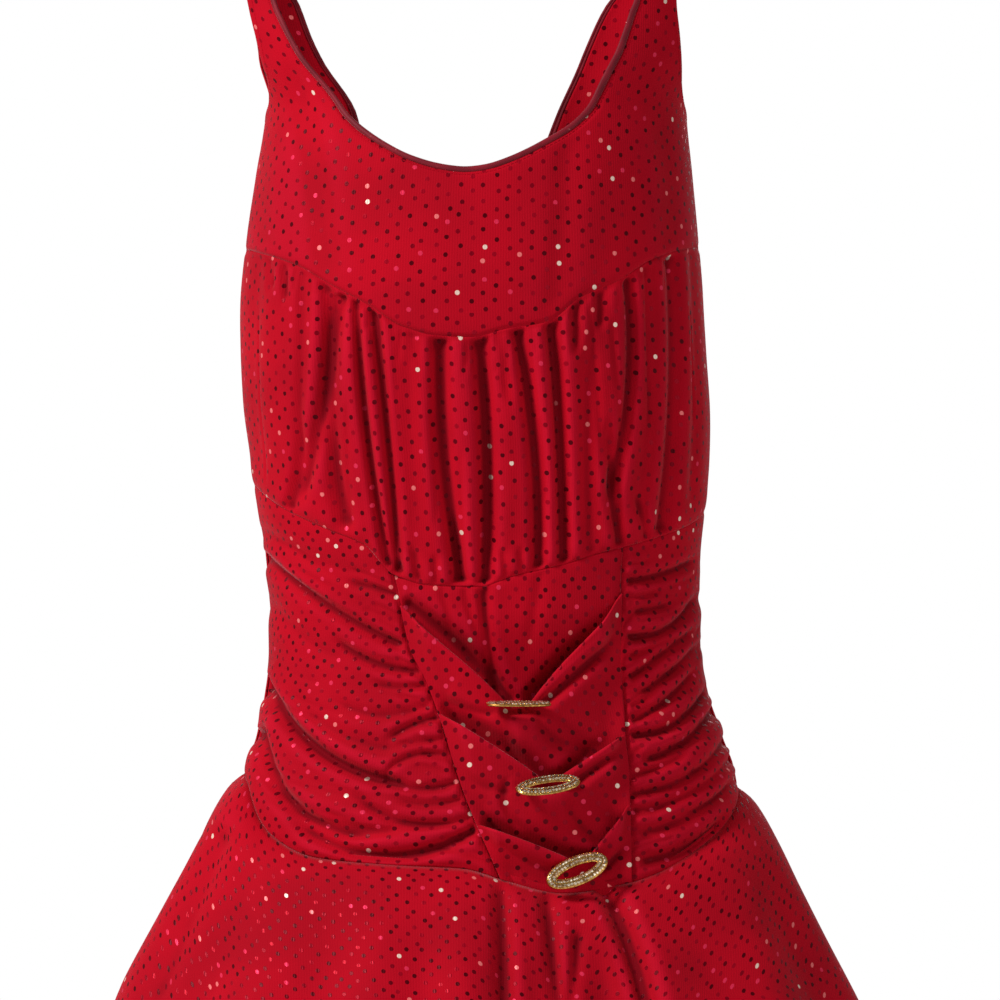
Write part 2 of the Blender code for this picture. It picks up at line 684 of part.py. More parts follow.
def drape_point(drape):
    """A drape: its top edge dips to its tip, and its foot is tucked under the next one."""
    seams = CENTRE_LEFT_SEAM, CENTRE_RIGHT_SEAM
    left_foot = drape.left_foot or CENTRE_LEFT_SEAM[-1].drop
    right_foot = drape.right_foot or CENTRE_RIGHT_SEAM[-1].drop
    ends = [
        [read(seam, "drop", "angle", drop) for seam, drop in zip(seams, drops)]
        for drops in ((drape.left_top, drape.right_top), (left_foot, right_foot))
    ]

    def top(t):
        angle = mix(ends[0][0], ends[0][1], t)
        away = max(0.0, abs(angle - drape.tip_angle) / DEGREES_PER_MM - TIP_HALF_WIDTH)
        end_angle, end_drop = (
            (ends[0][0], drape.left_top) if angle < drape.tip_angle else (ends[0][1], drape.right_top)
        )
        reach = abs(end_angle - drape.tip_angle) / DEGREES_PER_MM - TIP_HALF_WIDTH
        return angle, mix(drape.tip_drop, end_drop, (away / reach) ** 1.15)

    def bottom(t):
        angle = mix(ends[1][0], ends[1][1], t)
        if drape.left_foot is None:
            return angle, seam_drop(SKIRT_SEAM, SKIRT_STOPS, angle)
        return angle, mix(left_foot, right_foot, t) + drape.foot_dip * math.sin(math.pi * t)

    place = patch(
        down_seam(CENTRE_LEFT_SEAM, drape.left_top, left_foot),
        down_seam(CENTRE_RIGHT_SEAM, drape.right_top, right_foot),
        top,
        bottom,
    )

    def point(u, v):
        angle, drop = place(u, v)
        out = mix(DRAPE_OUT, DRAPE_TUCKED, ease((v - 0.3) / 0.35))
        away = (angle - drape.tip_angle) / DEGREES_PER_MM
        loose = 1 - math.exp(-((away / PINCH_WIDTH) ** 2))
        out += DRAPE_ROLL * loose * math.sin(math.pi * u) ** 0.8 * (1 - v) ** 3
        below = drop - drape.swell_drop
        fade = math.exp(-((max(below - SWELL_RISE, 0.0) / SWELL_FADE) ** 2))
        out += drape.swell * math.exp(-((away / SWELL_WIDTH) ** 2)) * ease(below / SWELL_RISE) * fade
        return cloth_point(angle, drop, out)

    return point


def add_drapes(fabric, collection):
    for drape in DRAPES:
        add_cloth("drape_" + drape.name, drape_point(drape), 20, 7, fabric, collection)


def add_ring(ring, finish, collection):
    """An oval band, bent from a torus, that leans out from the cloth."""
    bpy.ops.mesh.primitive_torus_add(
        major_segments=24, minor_segments=8, major_radius=1.0, minor_radius=0.25
    )
    made = bpy.context.object
    made.name = made.data.name = "ring_" + ring.name
    half_length = (RING_LENGTH - RING_BAND) / 2
    half_height = (RING_HEIGHT - RING_BAND) / 2
    for vertex in made.data.vertices:
        x, y, z = vertex.co
        reach = math.hypot(x, y)
        side, lift = (reach - 1) / 0.25 * RING_BAND / 2, z / 0.25 * RING_THICKNESS / 2
        cosine, sine = x / reach, y / reach
        outward = Vector((cosine * half_height, sine * half_length, 0)).normalized()
        centre = Vector((cosine * half_length, sine * half_height, 0))
        vertex.co = (centre + outward * side + Vector((0, 0, lift))) * MM
    normal = figure_normal(ring.angle, ring.drop)
    yaw = math.atan2(normal.x, -normal.y)
    turn = (
        Matrix.Rotation(yaw, 4, "Z")
        @ Matrix.Rotation(-math.radians(ring.roll), 4, "Y")
        @ Matrix.Rotation(math.radians(90 - ring.lean), 4, "X")
    )
    made.matrix_world = Matrix.Translation(cloth_point(ring.angle, ring.drop, ring.out) * MM) @ turn
    made.data.shade_smooth()
    made.data.materials.append(finish)
    for holder in list(made.users_collection):
        holder.objects.unlink(made)
    collection.objects.link(made)


def add_skirt(fabric, collection):
    """The flared skirt, in a front and a back."""

    def half(angle_at):
        def point(u, v):
            angle = angle_at(u)
            return skirt_point(angle, (HEM_DROP - seam_drop(SKIRT_SEAM, SKIRT_STOPS, angle)) * v)

        return point

    columns = sum(stop.cells * times for stop, times in zip(SKIRT_STOPS[1:], SKIRT_FINER))
    front = half(lambda u: spread(SKIRT_STOPS, u, SKIRT_FINER))
    add_cloth("skirt_front", front, columns, 5, fabric, collection)
    back = half(lambda u: mix(SIDE + SKIRT_SIDE_GAP, 360 - SIDE - SKIRT_SIDE_GAP, u))
    add_cloth("skirt_back", back, BACK_SKIRT_CELLS, 5, fabric, collection)


def add_brief(fabric, collection):
    """The brief hangs inside the skirt from the same seam, with open legs."""

    def half(start, end, facing):
        def leg_edge(u):
            across = 2 * u - 1
            flat = CROTCH_HALF_WIDTH / 170.0
            middle = figure_point(start, CROTCH_DROP).lerp(figure_point(end, CROTCH_DROP), 0.5)
            side = figure_point(end if across > 0 else start, BRIEF_SIDE_DROP)
            corner_x = middle.x + math.copysign(CROTCH_HALF_WIDTH, side.x - middle.x)
            if abs(across) <= flat:
                crotch_x = mix(middle.x, corner_x, abs(across) / flat)
                return Vector((crotch_x, facing * CROTCH_GAP / 2, -CROTCH_DROP))
            t = (abs(across) - flat) / (1 - flat)
            corner = Vector((corner_x, facing * CROTCH_GAP / 2, -CROTCH_DROP))
            side.x -= math.copysign(BRIEF_INSET, side.x - middle.x)
            groin = Vector((mix(corner_x, side.x, 0.1), facing * GROIN_DEPTH, mix(corner.z, side.z, 0.3)))
            flank = Vector((side.x, facing * FLANK_DEPTH, mix(corner.z, side.z, 0.95)))
            near, far = (1 - t) ** 2, t * t
            return corner * near * (1 - t) + groin * 3 * t * near + flank * 3 * far * (1 - t) + side * far * t

        def point(u, v):
            angle = mix(start, end, u)
            seam = seam_drop(SKIRT_SEAM, SKIRT_STOPS, angle)
            top = cloth_point(angle, seam - BRIEF_TUCK, -BRIEF_INSET)
            edge = leg_edge(u)
            low = figure_point(angle, mix(seam, CROTCH_DROP, 0.8))
            full = Vector((mix(low.x, edge.x, 0.3), low.y * BRIEF_FULLNESS, edge.z))
            return top * (1 - v) ** 2 + full * 2 * v * (1 - v) + edge * v * v

        return point

    near, far = SIDE - BRIEF_SIDE_GAP, SIDE + BRIEF_SIDE_GAP
    add_cloth("brief_front", half(-near, near, -1), 20, 6, fabric, collection)
    add_cloth("brief_back", half(far, 360 - far, 1), 20, 6, fabric, collection)


def main():
    for leftover in list(bpy.data.objects):
        bpy.data.objects.remove(leftover)
    collection = bpy.data.collections.new("leotard_dress")
    bpy.context.scene.collection.children.link(collection)
    fabric = material("red_stretch_knit", (0.42, 0.004, 0.014), 0.6)
    trim = material("dark_red_binding", (0.16, 0.003, 0.01), 0.6)
    gold = material("gold_plate", (0.8, 0.55, 0.2), 0.25, 1.0)
    add_bodice(fabric, trim, collection)
    add_sides(fabric, collection)
    add_drapes(fabric, collection)
    for ring in RINGS:
        add_ring(ring, gold, collection)
    add_skirt(fabric, collection)
    add_brief(fabric, collection)


main()
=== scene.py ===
"""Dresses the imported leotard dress: fine cloth with its folds and foil dots, and stone-set rings.

Sizes are in millimetres until a mesh is written. A place on the garment is an angle round the
figure, in degrees from the front towards +X, and a drop below the tops of the straps.
"""

import json
import logging
import math
import random
from dataclasses import dataclass
from enum import Enum
from typing import Callable, NamedTuple, Optional, Sequence

import bmesh
import bpy
import numpy as np
from mathutils import Matrix, Vector

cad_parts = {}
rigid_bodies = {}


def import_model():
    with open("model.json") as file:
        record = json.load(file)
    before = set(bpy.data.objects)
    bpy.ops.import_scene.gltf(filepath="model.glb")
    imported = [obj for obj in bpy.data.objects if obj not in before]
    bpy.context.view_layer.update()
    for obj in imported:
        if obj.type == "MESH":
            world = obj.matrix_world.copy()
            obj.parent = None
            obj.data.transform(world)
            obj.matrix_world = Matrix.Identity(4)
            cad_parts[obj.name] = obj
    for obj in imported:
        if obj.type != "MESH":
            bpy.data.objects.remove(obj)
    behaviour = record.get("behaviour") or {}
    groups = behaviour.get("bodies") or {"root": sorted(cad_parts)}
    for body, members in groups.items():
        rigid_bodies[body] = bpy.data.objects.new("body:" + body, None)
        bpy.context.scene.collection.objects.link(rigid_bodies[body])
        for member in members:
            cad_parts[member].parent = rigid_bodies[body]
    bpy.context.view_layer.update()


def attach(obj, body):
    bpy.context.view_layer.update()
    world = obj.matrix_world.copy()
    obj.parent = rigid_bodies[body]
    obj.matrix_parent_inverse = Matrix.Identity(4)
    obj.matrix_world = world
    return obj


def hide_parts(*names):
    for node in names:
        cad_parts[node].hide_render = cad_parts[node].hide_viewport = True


log = logging.getLogger("leotard_dress")

MM = 0.001
SIDE = 92.0
BACK_CENTRE = 180.0
ROUND = 360.0
GRAIN_DROP = 340.0
DEGREES_PER_MM = math.degrees(1.0 / 150.0)
FOLD_FADE = 0.16
SIDE_PUCKER_PITCH = 6

# The picture's scale, and where the garment's own middle and top lie in it
MM_PER_PIXEL = 0.68
PICTURE_MIDDLE = 460.0
PICTURE_TOP = 150.0

Array = np.ndarray
Place = tuple[Array, Array]
PlaceAt = Callable[[Array], Place]
Spot = tuple[float, float]
Colour = tuple[float, float, float, float]
Socket = bpy.types.NodeSocket
Shape = bmesh.types.BMesh
Finish = bpy.types.Material
Piece = bpy.types.Object


class Slot(Enum):
    """The record's material slots."""

    KNIT = "knit"
    BINDING = "binding"
    RING = "ring"


class Held(Enum):
    """How a sheet of cloth is held."""

    HUNG = "hung"
    DRAPED = "draped"
    GATHERED = "gathered"
    STRETCHED = "stretched"


class Section(NamedTuple):
    """A level section of the figure."""

    drop: float
    half_width: float
    front: float
    back: float
    middle: float


class Row(NamedTuple):
    """A row across a band, from the neck to its outer edge; no edge_drop means it is on a seam."""

    neck_angle: float
    neck_drop: float
    edge_angle: float
    edge_drop: Optional[float]
    corner: bool = False


class Stitch(NamedTuple):
    """A point of a seam: its drop at an angle."""

    angle: float
    drop: float


class Fold(NamedTuple):
    """A soft trough along a bowed line on the figure."""

    angle_a: float
    drop_a: float
    angle_b: float
    drop_b: float
    bow: float
    depth: float
    width: float

    def line(self) -> tuple[Spot, Spot, float, Spot]:
        """Where it runs.

        Returns:
            Its ends in millimetres, its bow and the lengths over which it starts and ends.
        """
        start = self.angle_a / DEGREES_PER_MM, self.drop_a
        end = self.angle_b / DEGREES_PER_MM, self.drop_b
        reach = FOLD_FADE * math.dist(start, end)
        return start, end, self.bow * math.copysign(1, end[0] - start[0]), (reach, reach)


class Crease(NamedTuple):
    """A trough as the picture shows it: its places in pixels, the rest in millimetres."""

    x_a: float
    y_a: float
    x_mid: float
    y_mid: float
    x_b: float
    y_b: float
    depth: float
    width: float
    head: float = 10.0
    tail: float = 10.0

    def line(self) -> tuple[Spot, Spot, float, Spot]:
        """Where it runs.

        Returns:
            Its ends in millimetres, its bow and the lengths over which it starts and ends.
        """
        start, middle, end = (
            ((x - PICTURE_MIDDLE) * MM_PER_PIXEL, (y + PICTURE_TOP) * MM_PER_PIXEL)
            for x, y in ((self.x_a, self.y_a), (self.x_mid, self.y_mid), (self.x_b, self.y_b))
        )
        run = end[0] - start[0], end[1] - start[1]
        off = middle[0] - start[0], middle[1] - start[1]
        bow = (off[1] * run[0] - off[0] * run[1]) / math.hypot(*run)
        return start, end, bow, (self.head, self.tail)


class Hang(NamedTuple):
    """A drape's places: its tops and feet on the side seams, its tip and the swell under it."""

    name: str
    left_top: float
    left_foot: Optional[float]
    right_top: float
    right_foot: Optional[float]
    tip_angle: float
    tip_drop: float
    foot_dip: float
    swell_drop: float
    swell: float


class Oval(NamedTuple):
    """Where a ring sits: lean is how far it leans out from the cloth, roll lifts its +X end."""

    name: str
    angle: float
    drop: float
    out: float
    lean: float
    roll: float


class Flare(NamedTuple):
    """How far out the skirt stands at a distance below its seam."""

    below: float
    out: float


class Flute(NamedTuple):
    """A fold of the skirt."""

    seam_angle: float
    hem_angle: float
    depth: float
    width: float


def records(kind: type, *rows: tuple) -> tuple:
    """A table's rows as records of one kind."""
    return tuple(kind(*row) for row in rows)


FIGURE = records(
    Section,
    (0, 168, 0.5, 0.5, 0), (2, 168, 14, 14, 0), (9, 168, 29, 28, 0), (20, 168, 41, 40, 0),
    (36, 168, 52, 50, 0), (56, 168, 62, 59, 0), (78, 168, 71, 68, 0), (102, 166, 80, 76, 1),
    (140, 158, 92, 84, 6), (177, 143, 101, 88, 11), (218, 148, 109, 89, 9.5), (266, 153.5, 116, 88, 8.5),
    (306, 157, 119, 86, 8), (340, 158, 118, 84, 9), (374, 158.5, 113, 81, 11), (415, 156, 105, 77, 13.5),
    (449, 152, 98, 74, 14.5), (480, 148, 92, 72, 15.5), (510, 146.5, 88, 71, 16.5), (544, 147, 86, 73, 17),
    (573, 151, 88, 79, 18), (602, 159, 92, 88, 20), (624, 166, 95, 95, 20.5), (660, 172, 99, 104, 20),
    (710, 174, 102, 110, 20), (900, 174, 102, 110, 20),
)
STRAP_DROPS = (0, 2, 9, 20, 36, 56, 78)
YOKE = records(
    Row,
    *((-44.5, drop, -59, drop) for drop in STRAP_DROPS),
    (-46.2, 102, -57.5, 104), (-45, 122, -58.5, 126), (-43.3, 141, -61, 145), (-41.3, 157, -67, 161),
    (-38.6, 171, -78, 175), (-35.3, 182, -SIDE, 186, True), (-32.4, 188, -SIDE, 229),
    (-29.3, 193.5, -SIDE, None, True), (-25.5, 199.5, -76, None), (-21.6, 205, -60, None),
    (-18, 209.5, -46, None), (-14.4, 213, -35, None), (-10.5, 216, -25, None), (-6, 218.2, -14, None),
    (-1.5, 219, -3, None), (4, 217, 8, None), (9.5, 212, 18.5, None), (14.5, 206, 27, None),
    (18.8, 200, 37, None), (22.6, 194.6, 48, None), (26, 188.8, 62, None), (28.6, 182.8, 77, None),
    (30.6, 177, SIDE, None, True), (32.2, 169.5, SIDE, 229), (33.6, 160.5, SIDE, 186, True),
    (35.1, 151, 79, 175), (37, 140, 69, 161), (39, 126.5, 63, 145), (40.8, 114, 60, 126),
    (42.5, 102, 57.8, 104),
    *((42.5, drop, 58.5, drop) for drop in reversed(STRAP_DROPS)),
)
BACK = records(
    Row,
    *((137.5, drop, 121.5, drop) for drop in STRAP_DROPS),
    (145, 102, 122.5, 104), (150.5, 130, 120.5, 130), (154.5, 156, 114, 152), (158.5, 180, 104, 173),
    (162, 203, SIDE, 186, True), (164.8, 224, SIDE, 270), (167.3, 245, SIDE, 360),
    (169.8, 265, SIDE, None, True), (172.3, 284, 104, None), (174.8, 301, 118, None),
    (177, 313, 133, None), (179.3, 321, 148, None), (181.6, 327, 163.5, None),
    (184, 329, BACK_CENTRE, None), (186.4, 327, 196.5, None), (188.7, 321, 212, None),
    (191, 313, 227, None), (193.6, 301, 242, None), (196.8, 284, 256, None),
    (200, 265, ROUND - SIDE, None, True), (203.3, 245, ROUND - SIDE, 360), (206.5, 224, ROUND - SIDE, 270),
    (210, 203, ROUND - SIDE, 186, True), (213.2, 180, 256, 173), (216, 156, 246, 152),
    (218.4, 130, 240, 130), (220, 102, 238.5, 104),
    *((224.5, drop, 239, drop) for drop in reversed(STRAP_DROPS)),
)
YOKE_SEAM = records(
    Stitch,
    (-SIDE, 272), (-76, 273), (-60, 277), (-46, 285), (-35, 298.5), (-25, 312), (-17, 326), (-8, 332.5),
    (0, 333.4), (8, 328), (18.5, 323), (27, 306.5), (37, 295.5), (48, 281), (62, 273.5), (77, 271),
    (SIDE, 270),
)
EMPIRE_SEAM = records(
    Stitch,
    (-SIDE, 431), (-78, 434), (-55, 450), (-40, 463), (-31, 472), (-23.5, 492), (-14, 499), (-2, 500),
    (9, 492), (21, 485), (30, 478), (38, 473.5), (55, 464), (78, 453), (SIDE, 449), (120, 450),
    (150, 454), (BACK_CENTRE, 455), (210, 450), (240, 440), (ROUND - SIDE, 431),
)
SKIRT_SEAM = records(
    Stitch,
    (-SIDE, 627), (-75, 634), (-54, 669), (-40, 682), (-20, 686.5), (-6, 688.5), (4, 697), (16, 705),
    (32, 698), (58, 668), (76, 648), (SIDE, 637), (110, 655), (130, 674), (154, 687),
    (BACK_CENTRE, 690), (206, 686), (230, 672), (250, 650), (ROUND - SIDE, 627),
)
CENTRE_LEFT_SEAM = records(
    Stitch,
    (-23.5, 492), (-19.6, 541), (-15.2, 564), (-12.4, 584), (-8.6, 617), (-6.3, 635), (-3.3, 656),
    (-0.5, 675), (2.5, 695.5),
)
CENTRE_RIGHT_SEAM = records(
    Stitch,
    (38, 473.5), (37.3, 506), (36.6, 537), (35.4, 578), (33.4, 605), (32.2, 646), (32, 680), (32, 698),
)

GATHERS = records(
    Fold,
    (-72, 276, -76, 425, 0, 2.5, 7), (-52, 284, -53, 440, 0, 3.5, 7), (-37, 300, -44, 452, 2, 6, 6),
    (-31, 308, -36, 462, -1, 6.5, 6), (-26.5, 318, -26, 478, 0, 4.5, 4.5), (-21, 330, -23, 484, 0, 5, 4.5),
    (-14, 336, -15, 492, 0, 2.5, 5), (-7.2, 338, -8.5, 496, 0, 6, 5.5), (2, 338, 1, 496, 0, 4, 5),
    (12, 333, 14, 486, 0, 5, 5), (19.5, 328, 20.5, 482, 0, 5, 5), (26.5, 314, 27, 430, 0, 3.5, 4.5),
    (33, 304, 35.5, 468, 0, 4.5, 5), (40.5, 296, 38.8, 468, 0, 4.5, 5), (57.5, 282, 53, 458, 2, 5, 7),
    (75, 276, 72, 446, 0, 3, 7),
)
LEFT_RUCHING = records(
    Fold,
    (-88, 481, -20, 544, -4, 5, 6), (-60, 456, -24, 500, 3, 3, 6), (-80, 520, -19, 563, 3, 4, 7),
    (-88, 548, -14, 590, 6, 4.5, 7), (-86, 572, -12, 634, 10, 6, 7), (-84, 600, -8, 648, 14, 5, 6),
    (-74, 622, -4, 664, 16, 5.5, 6), (-52, 664, -2, 678, 8, 3.5, 5),
)
RIGHT_RUCHING = records(
    Fold,
    (41, 499, 88, 478, 2, 4.5, 6), (40, 531, 88, 505, 4, 5, 6), (40, 555, 88, 527, 6, 4.5, 6),
    (39, 577, 88, 545, 8, 5, 7), (36, 600, 88, 575, 6, 5.5, 6), (36, 622, 88, 600, 6, 5, 6),
    (36, 645, 88, 618, 8, 5, 6), (36, 672, 80, 636, 10, 4, 5),
)
BACK_CREASES = records(
    Fold,
    (100, 470, 150, 486, 8, 3, 8), (96, 512, 160, 530, 8, 4, 9), (98, 556, 150, 574, 10, 4, 9),
    (96, 606, 140, 628, 8, 3, 9), (262, 474, 205, 492, 8, 3, 8), (264, 520, 200, 536, 8, 4, 9),
    (262, 562, 208, 582, 10, 4, 9), (264, 604, 222, 630, 8, 3, 9),
)
HANGS = (
    Hang("upper", 514, 603, 506, 622, 8.0, 583.5, 32, 583.5, 9.0),
    Hang("middle", 586, 674, 600, 662, 13.5, 630.0, 18, 632.0, 9.0),
    Hang("lower", 660, None, 646, None, 19.6, 684.0, 0, 686.0, 3.0),
)
OVALS = (
    Oval("upper", 7.7, 581.0, 15.3, 87, 0),
    Oval("middle", 12.8, 634.3, 14.4, 58, 8),
    Oval("lower", 18.9, 690.2, 9.2, 22, 22),
)
FLARE = records(
    Flare,
    (0, 0), (8, 10), (18, 18), (37, 30), (61, 43), (92, 60), (136, 84), (155, 93), (260, 142),
)
HEM_DROP = 880.0
FLUTES = records(
    Flute,
    (-92, -92, 14, 8), (-57, -59, 13, 8), (-33, -30, 9, 8), (-13, -14, 8, 6), (2, 2, 10, 4.5),
    (10.5, 11, 12, 4.5), (20.5, 26, 22, 6.5), (44, 47, 10, 8), (66, 69, 12, 8), (92, 92, 14, 8),
    (114, 114, 17, 9), (136, 137, 18, 9), (158, 158, 17, 9), (180, 181, 19, 9), (202, 202, 17, 9),
    (224, 223, 18, 9), (246, 246, 17, 9),
)

SEEN_YOKE = records(
    Crease,
    (296, 70, 318, 180, 329, 282, 3.2, 9, 30, 6), (566, 140, 562, 230, 554, 322, 2.6, 9, 30, 6),
    (262, 150, 262, 200, 266, 246, 1.5, 7, 20, 6), (655, 120, 668, 190, 668, 250, 1.8, 8, 30, 6),
)
SEEN_BUST = records(
    Crease,
    (262, 256, 255, 350, 262, 468, 2.5, 5, 3, 40), (285, 261, 287, 280, 288, 302, 3.2, 2.4, 2, 10),
    (270, 258, 272, 274, 273, 292, 2.6, 2.4, 2, 10), (306, 270, 307, 340, 300, 430, 2.4, 4, 2, 40),
    (303, 430, 299, 475, 291, 510, 4.5, 3.4, 30, 3), (329, 282, 327, 370, 303, 500, 6.0, 4.2, 2, 30),
    (344, 297, 333, 400, 348, 528, 7.0, 5.4, 2, 12), (358, 303, 366, 410, 390, 566, 6.5, 2.7, 2, 3),
    (366, 306, 368, 318, 369, 334, 2.4, 2.0, 2, 8), (375, 312, 386, 410, 399, 572, 7.0, 3.2, 2, 3),
    (415, 335, 411, 420, 420, 520, 2.2, 7, 4, 40), (441, 339, 443, 440, 463, 582, 9.0, 5.6, 2, 3),
    (452, 520, 456, 548, 458, 580, 3.5, 2.6, 20, 2), (466, 338, 467, 352, 466, 372, 2.4, 2.6, 2, 14),
    (480, 338, 487, 440, 485, 584, 9.0, 5.0, 2, 3), (500, 335, 503, 360, 508, 400, 2.6, 3.4, 2, 20),
    (517, 330, 531, 410, 538, 572, 7.5, 4.4, 2, 3), (551, 322, 557, 410, 563, 568, 7.5, 4.0, 2, 3),
    (577, 302, 575, 325, 574, 352, 4.2, 2.8, 2, 14), (599, 292, 599, 310, 598, 330, 4.2, 2.8, 2, 12),
    (590, 350, 586, 430, 590, 556, 3.2, 5.0, 40, 3), (626, 279, 629, 380, 610, 492, 6.5, 3.6, 2, 24),
    (608, 430, 611, 490, 620, 550, 5.5, 3.4, 24, 2), (646, 268, 649, 380, 640, 500, 2.8, 5.0, 2, 40),
    (636, 498, 642, 520, 646, 545, 3.6, 2.6, 14, 2), (670, 256, 674, 370, 660, 532, 7.0, 4.4, 2, 5),
    (690, 252, 694, 370, 690, 500, 2.6, 3.0, 2, 30), (400, 560, 402, 572, 404, 584, 2.6, 2.2, 8, 2),
    (414, 548, 418, 566, 421, 586, 3.0, 2.6, 12, 2), (436, 556, 437, 570, 438, 586, 2.6, 2.4, 8, 2),
    (503, 550, 505, 564, 507, 576, 2.6, 2.4, 8, 2), (520, 548, 521, 560, 522, 572, 2.4, 2.2, 8, 2),
)
SEEN_LEFT = records(
    Crease,
    (262, 555, 330, 606, 402, 643, 5.5, 3.4, 6, 8), (339, 640, 368, 658, 424, 668, 4.5, 3.2, 14, 4),
    (354, 582, 384, 590, 410, 598, 3.4, 2.8, 12, 4), (377, 681, 400, 685, 430, 681, 3.0, 2.4, 12, 3),
    (391, 734, 413, 722, 440, 713, 4.5, 2.8, 12, 3), (388, 767, 412, 752, 452, 752, 3.4, 2.4, 8, 3),
    (386, 774, 420, 784, 456, 778, 4.0, 2.8, 8, 3), (262, 680, 318, 745, 396, 778, 9.0, 4.6, 3, 24),
    (259, 728, 288, 795, 368, 832, 9.5, 5.4, 3, 24), (300, 822, 386, 850, 478, 822, 7.5, 4.4, 20, 6),
    (330, 808, 362, 822, 400, 826, 3.0, 3.4, 16, 16), (362, 796, 410, 818, 472, 812, 4.0, 3.2, 16, 4),
    (268, 600, 310, 640, 352, 660, 2.4, 5.0, 16, 24), (300, 700, 350, 735, 400, 745, 2.6, 4.6, 20, 20),
    (340, 700, 390, 712, 432, 700, 2.8, 3.4, 16, 4), (262, 530, 320, 560, 370, 575, 2.2, 4.6, 10, 20),
    (400, 740, 424, 738, 446, 734, 2.6, 2.2, 8, 3), (402, 796, 430, 800, 462, 794, 2.8, 2.4, 10, 3),
    (420, 650, 424, 656, 430, 658, 2.4, 2.2, 4, 3),
)
SEEN_RIGHT = records(
    Crease,
    (627, 580, 658, 575, 694, 561, 5.0, 3.2, 3, 10), (634, 611, 651, 608, 668, 604, 3.4, 2.6, 4, 8),
    (626, 596, 640, 595, 656, 590, 2.6, 2.2, 3, 8), (628, 636, 664, 630, 697, 598, 6.5, 3.4, 3, 10),
    (629, 655, 650, 646, 676, 636, 3.2, 2.6, 3, 12), (629, 676, 657, 656, 692, 630, 4.6, 3.0, 3, 12),
    (640, 690, 670, 671, 698, 644, 4.6, 3.0, 8, 12), (630, 704, 640, 699, 654, 690, 2.8, 2.2, 3, 10),
    (631, 718, 655, 706, 694, 670, 4.8, 3.0, 3, 12), (631, 732, 664, 727, 706, 692, 6.0, 3.4, 3, 10),
    (646, 756, 676, 744, 716, 708, 6.5, 3.6, 10, 12), (628, 770, 652, 766, 682, 752, 3.4, 2.6, 3, 12),
    (629, 789, 664, 786, 728, 738, 5.5, 3.6, 3, 12), (632, 806, 676, 796, 738, 752, 5.0, 3.8, 3, 12),
    (640, 828, 680, 816, 738, 776, 4.0, 4.0, 8, 16), (640, 856, 676, 848, 722, 818, 5.5, 4.2, 8, 16),
)
SEEN_CENTRE = records(
    Crease,
    (484, 578, 487, 632, 500, 690, 5.5, 4.6, 2, 10), (404, 600, 462, 646, 512, 700, 9.0, 7.0, 6, 6),
    (528, 704, 556, 668, 590, 636, 4.0, 6.0, 4, 20), (463, 578, 468, 600, 480, 640, 3.0, 3.0, 2, 20),
    (440, 578, 446, 600, 452, 626, 2.0, 3.0, 2, 20), (540, 572, 536, 600, 530, 640, 1.8, 5.0, 2, 30),
)
SEEN_DRAPES = {
    "upper": records(
        Crease,
        (541, 702, 590, 657, 636, 616, 8.0, 4.6, 4, 4), (440, 706, 498, 742, 552, 778, 11.0, 8.0, 6, 6),
        (556, 778, 574, 760, 590, 748, 5.0, 6.0, 4, 8), (434, 690, 462, 704, 492, 712, 2.6, 3.4, 6, 6),
        (536, 716, 560, 738, 600, 742, 3.0, 5.0, 8, 16), (500, 716, 510, 742, 520, 764, 2.4, 4.0, 6, 10),
    ),
    "middle": records(
        Crease,
        (572, 780, 600, 758, 636, 736, 7.5, 4.6, 4, 4), (482, 818, 540, 842, 596, 858, 10.0, 7.5, 6, 6),
        (606, 856, 624, 836, 636, 806, 8.0, 6.0, 4, 6), (505, 776, 506, 800, 520, 822, 3.4, 3.8, 6, 10),
        (452, 760, 476, 778, 508, 788, 2.6, 3.4, 6, 8), (566, 798, 580, 820, 600, 836, 2.6, 4.6, 6, 12),
    ),
    "lower": records(
        Crease,
        (600, 866, 616, 850, 632, 830, 4.5, 3.0, 4, 4), (500, 838, 528, 856, 552, 866, 2.4, 3.2, 6, 6),
    ),
}
SEEN_SKIRT = records(
    Crease,
    (222, 826, 190, 905, 150, 1000, 6.0, 9.0, 16, 30), (500, 880, 503, 940, 505, 1010, 5.0, 5.0, 12, 20),
    (545, 888, 552, 945, 560, 1010, 5.0, 4.6, 12, 20), (576, 925, 573, 965, 568, 1010, 3.6, 4.0, 12, 20),
    (600, 876, 626, 930, 648, 1010, 9.0, 6.0, 8, 20),
)


def mix(a: Array, b: Array, t: Array) -> Array:
    """A blend from a to b."""
    return a + (b - a) * t


def ease(t: Array) -> Array:
    """0 to 1 with a soft start and end."""
    t = np.clip(t, 0.0, 1.0)
    return t * t * (3 - 2 * t)


def bell(away: Array, width: float) -> Array:
    """A bell that is 1 in the middle and falls off over a width."""
    return np.exp(-((away / width) ** 2))


def seam_dip(distance: Array) -> Array:
    """How far in the stitching pulls the cloth, at a distance from its seam."""
    return -0.65 * bell(distance, 2.6)


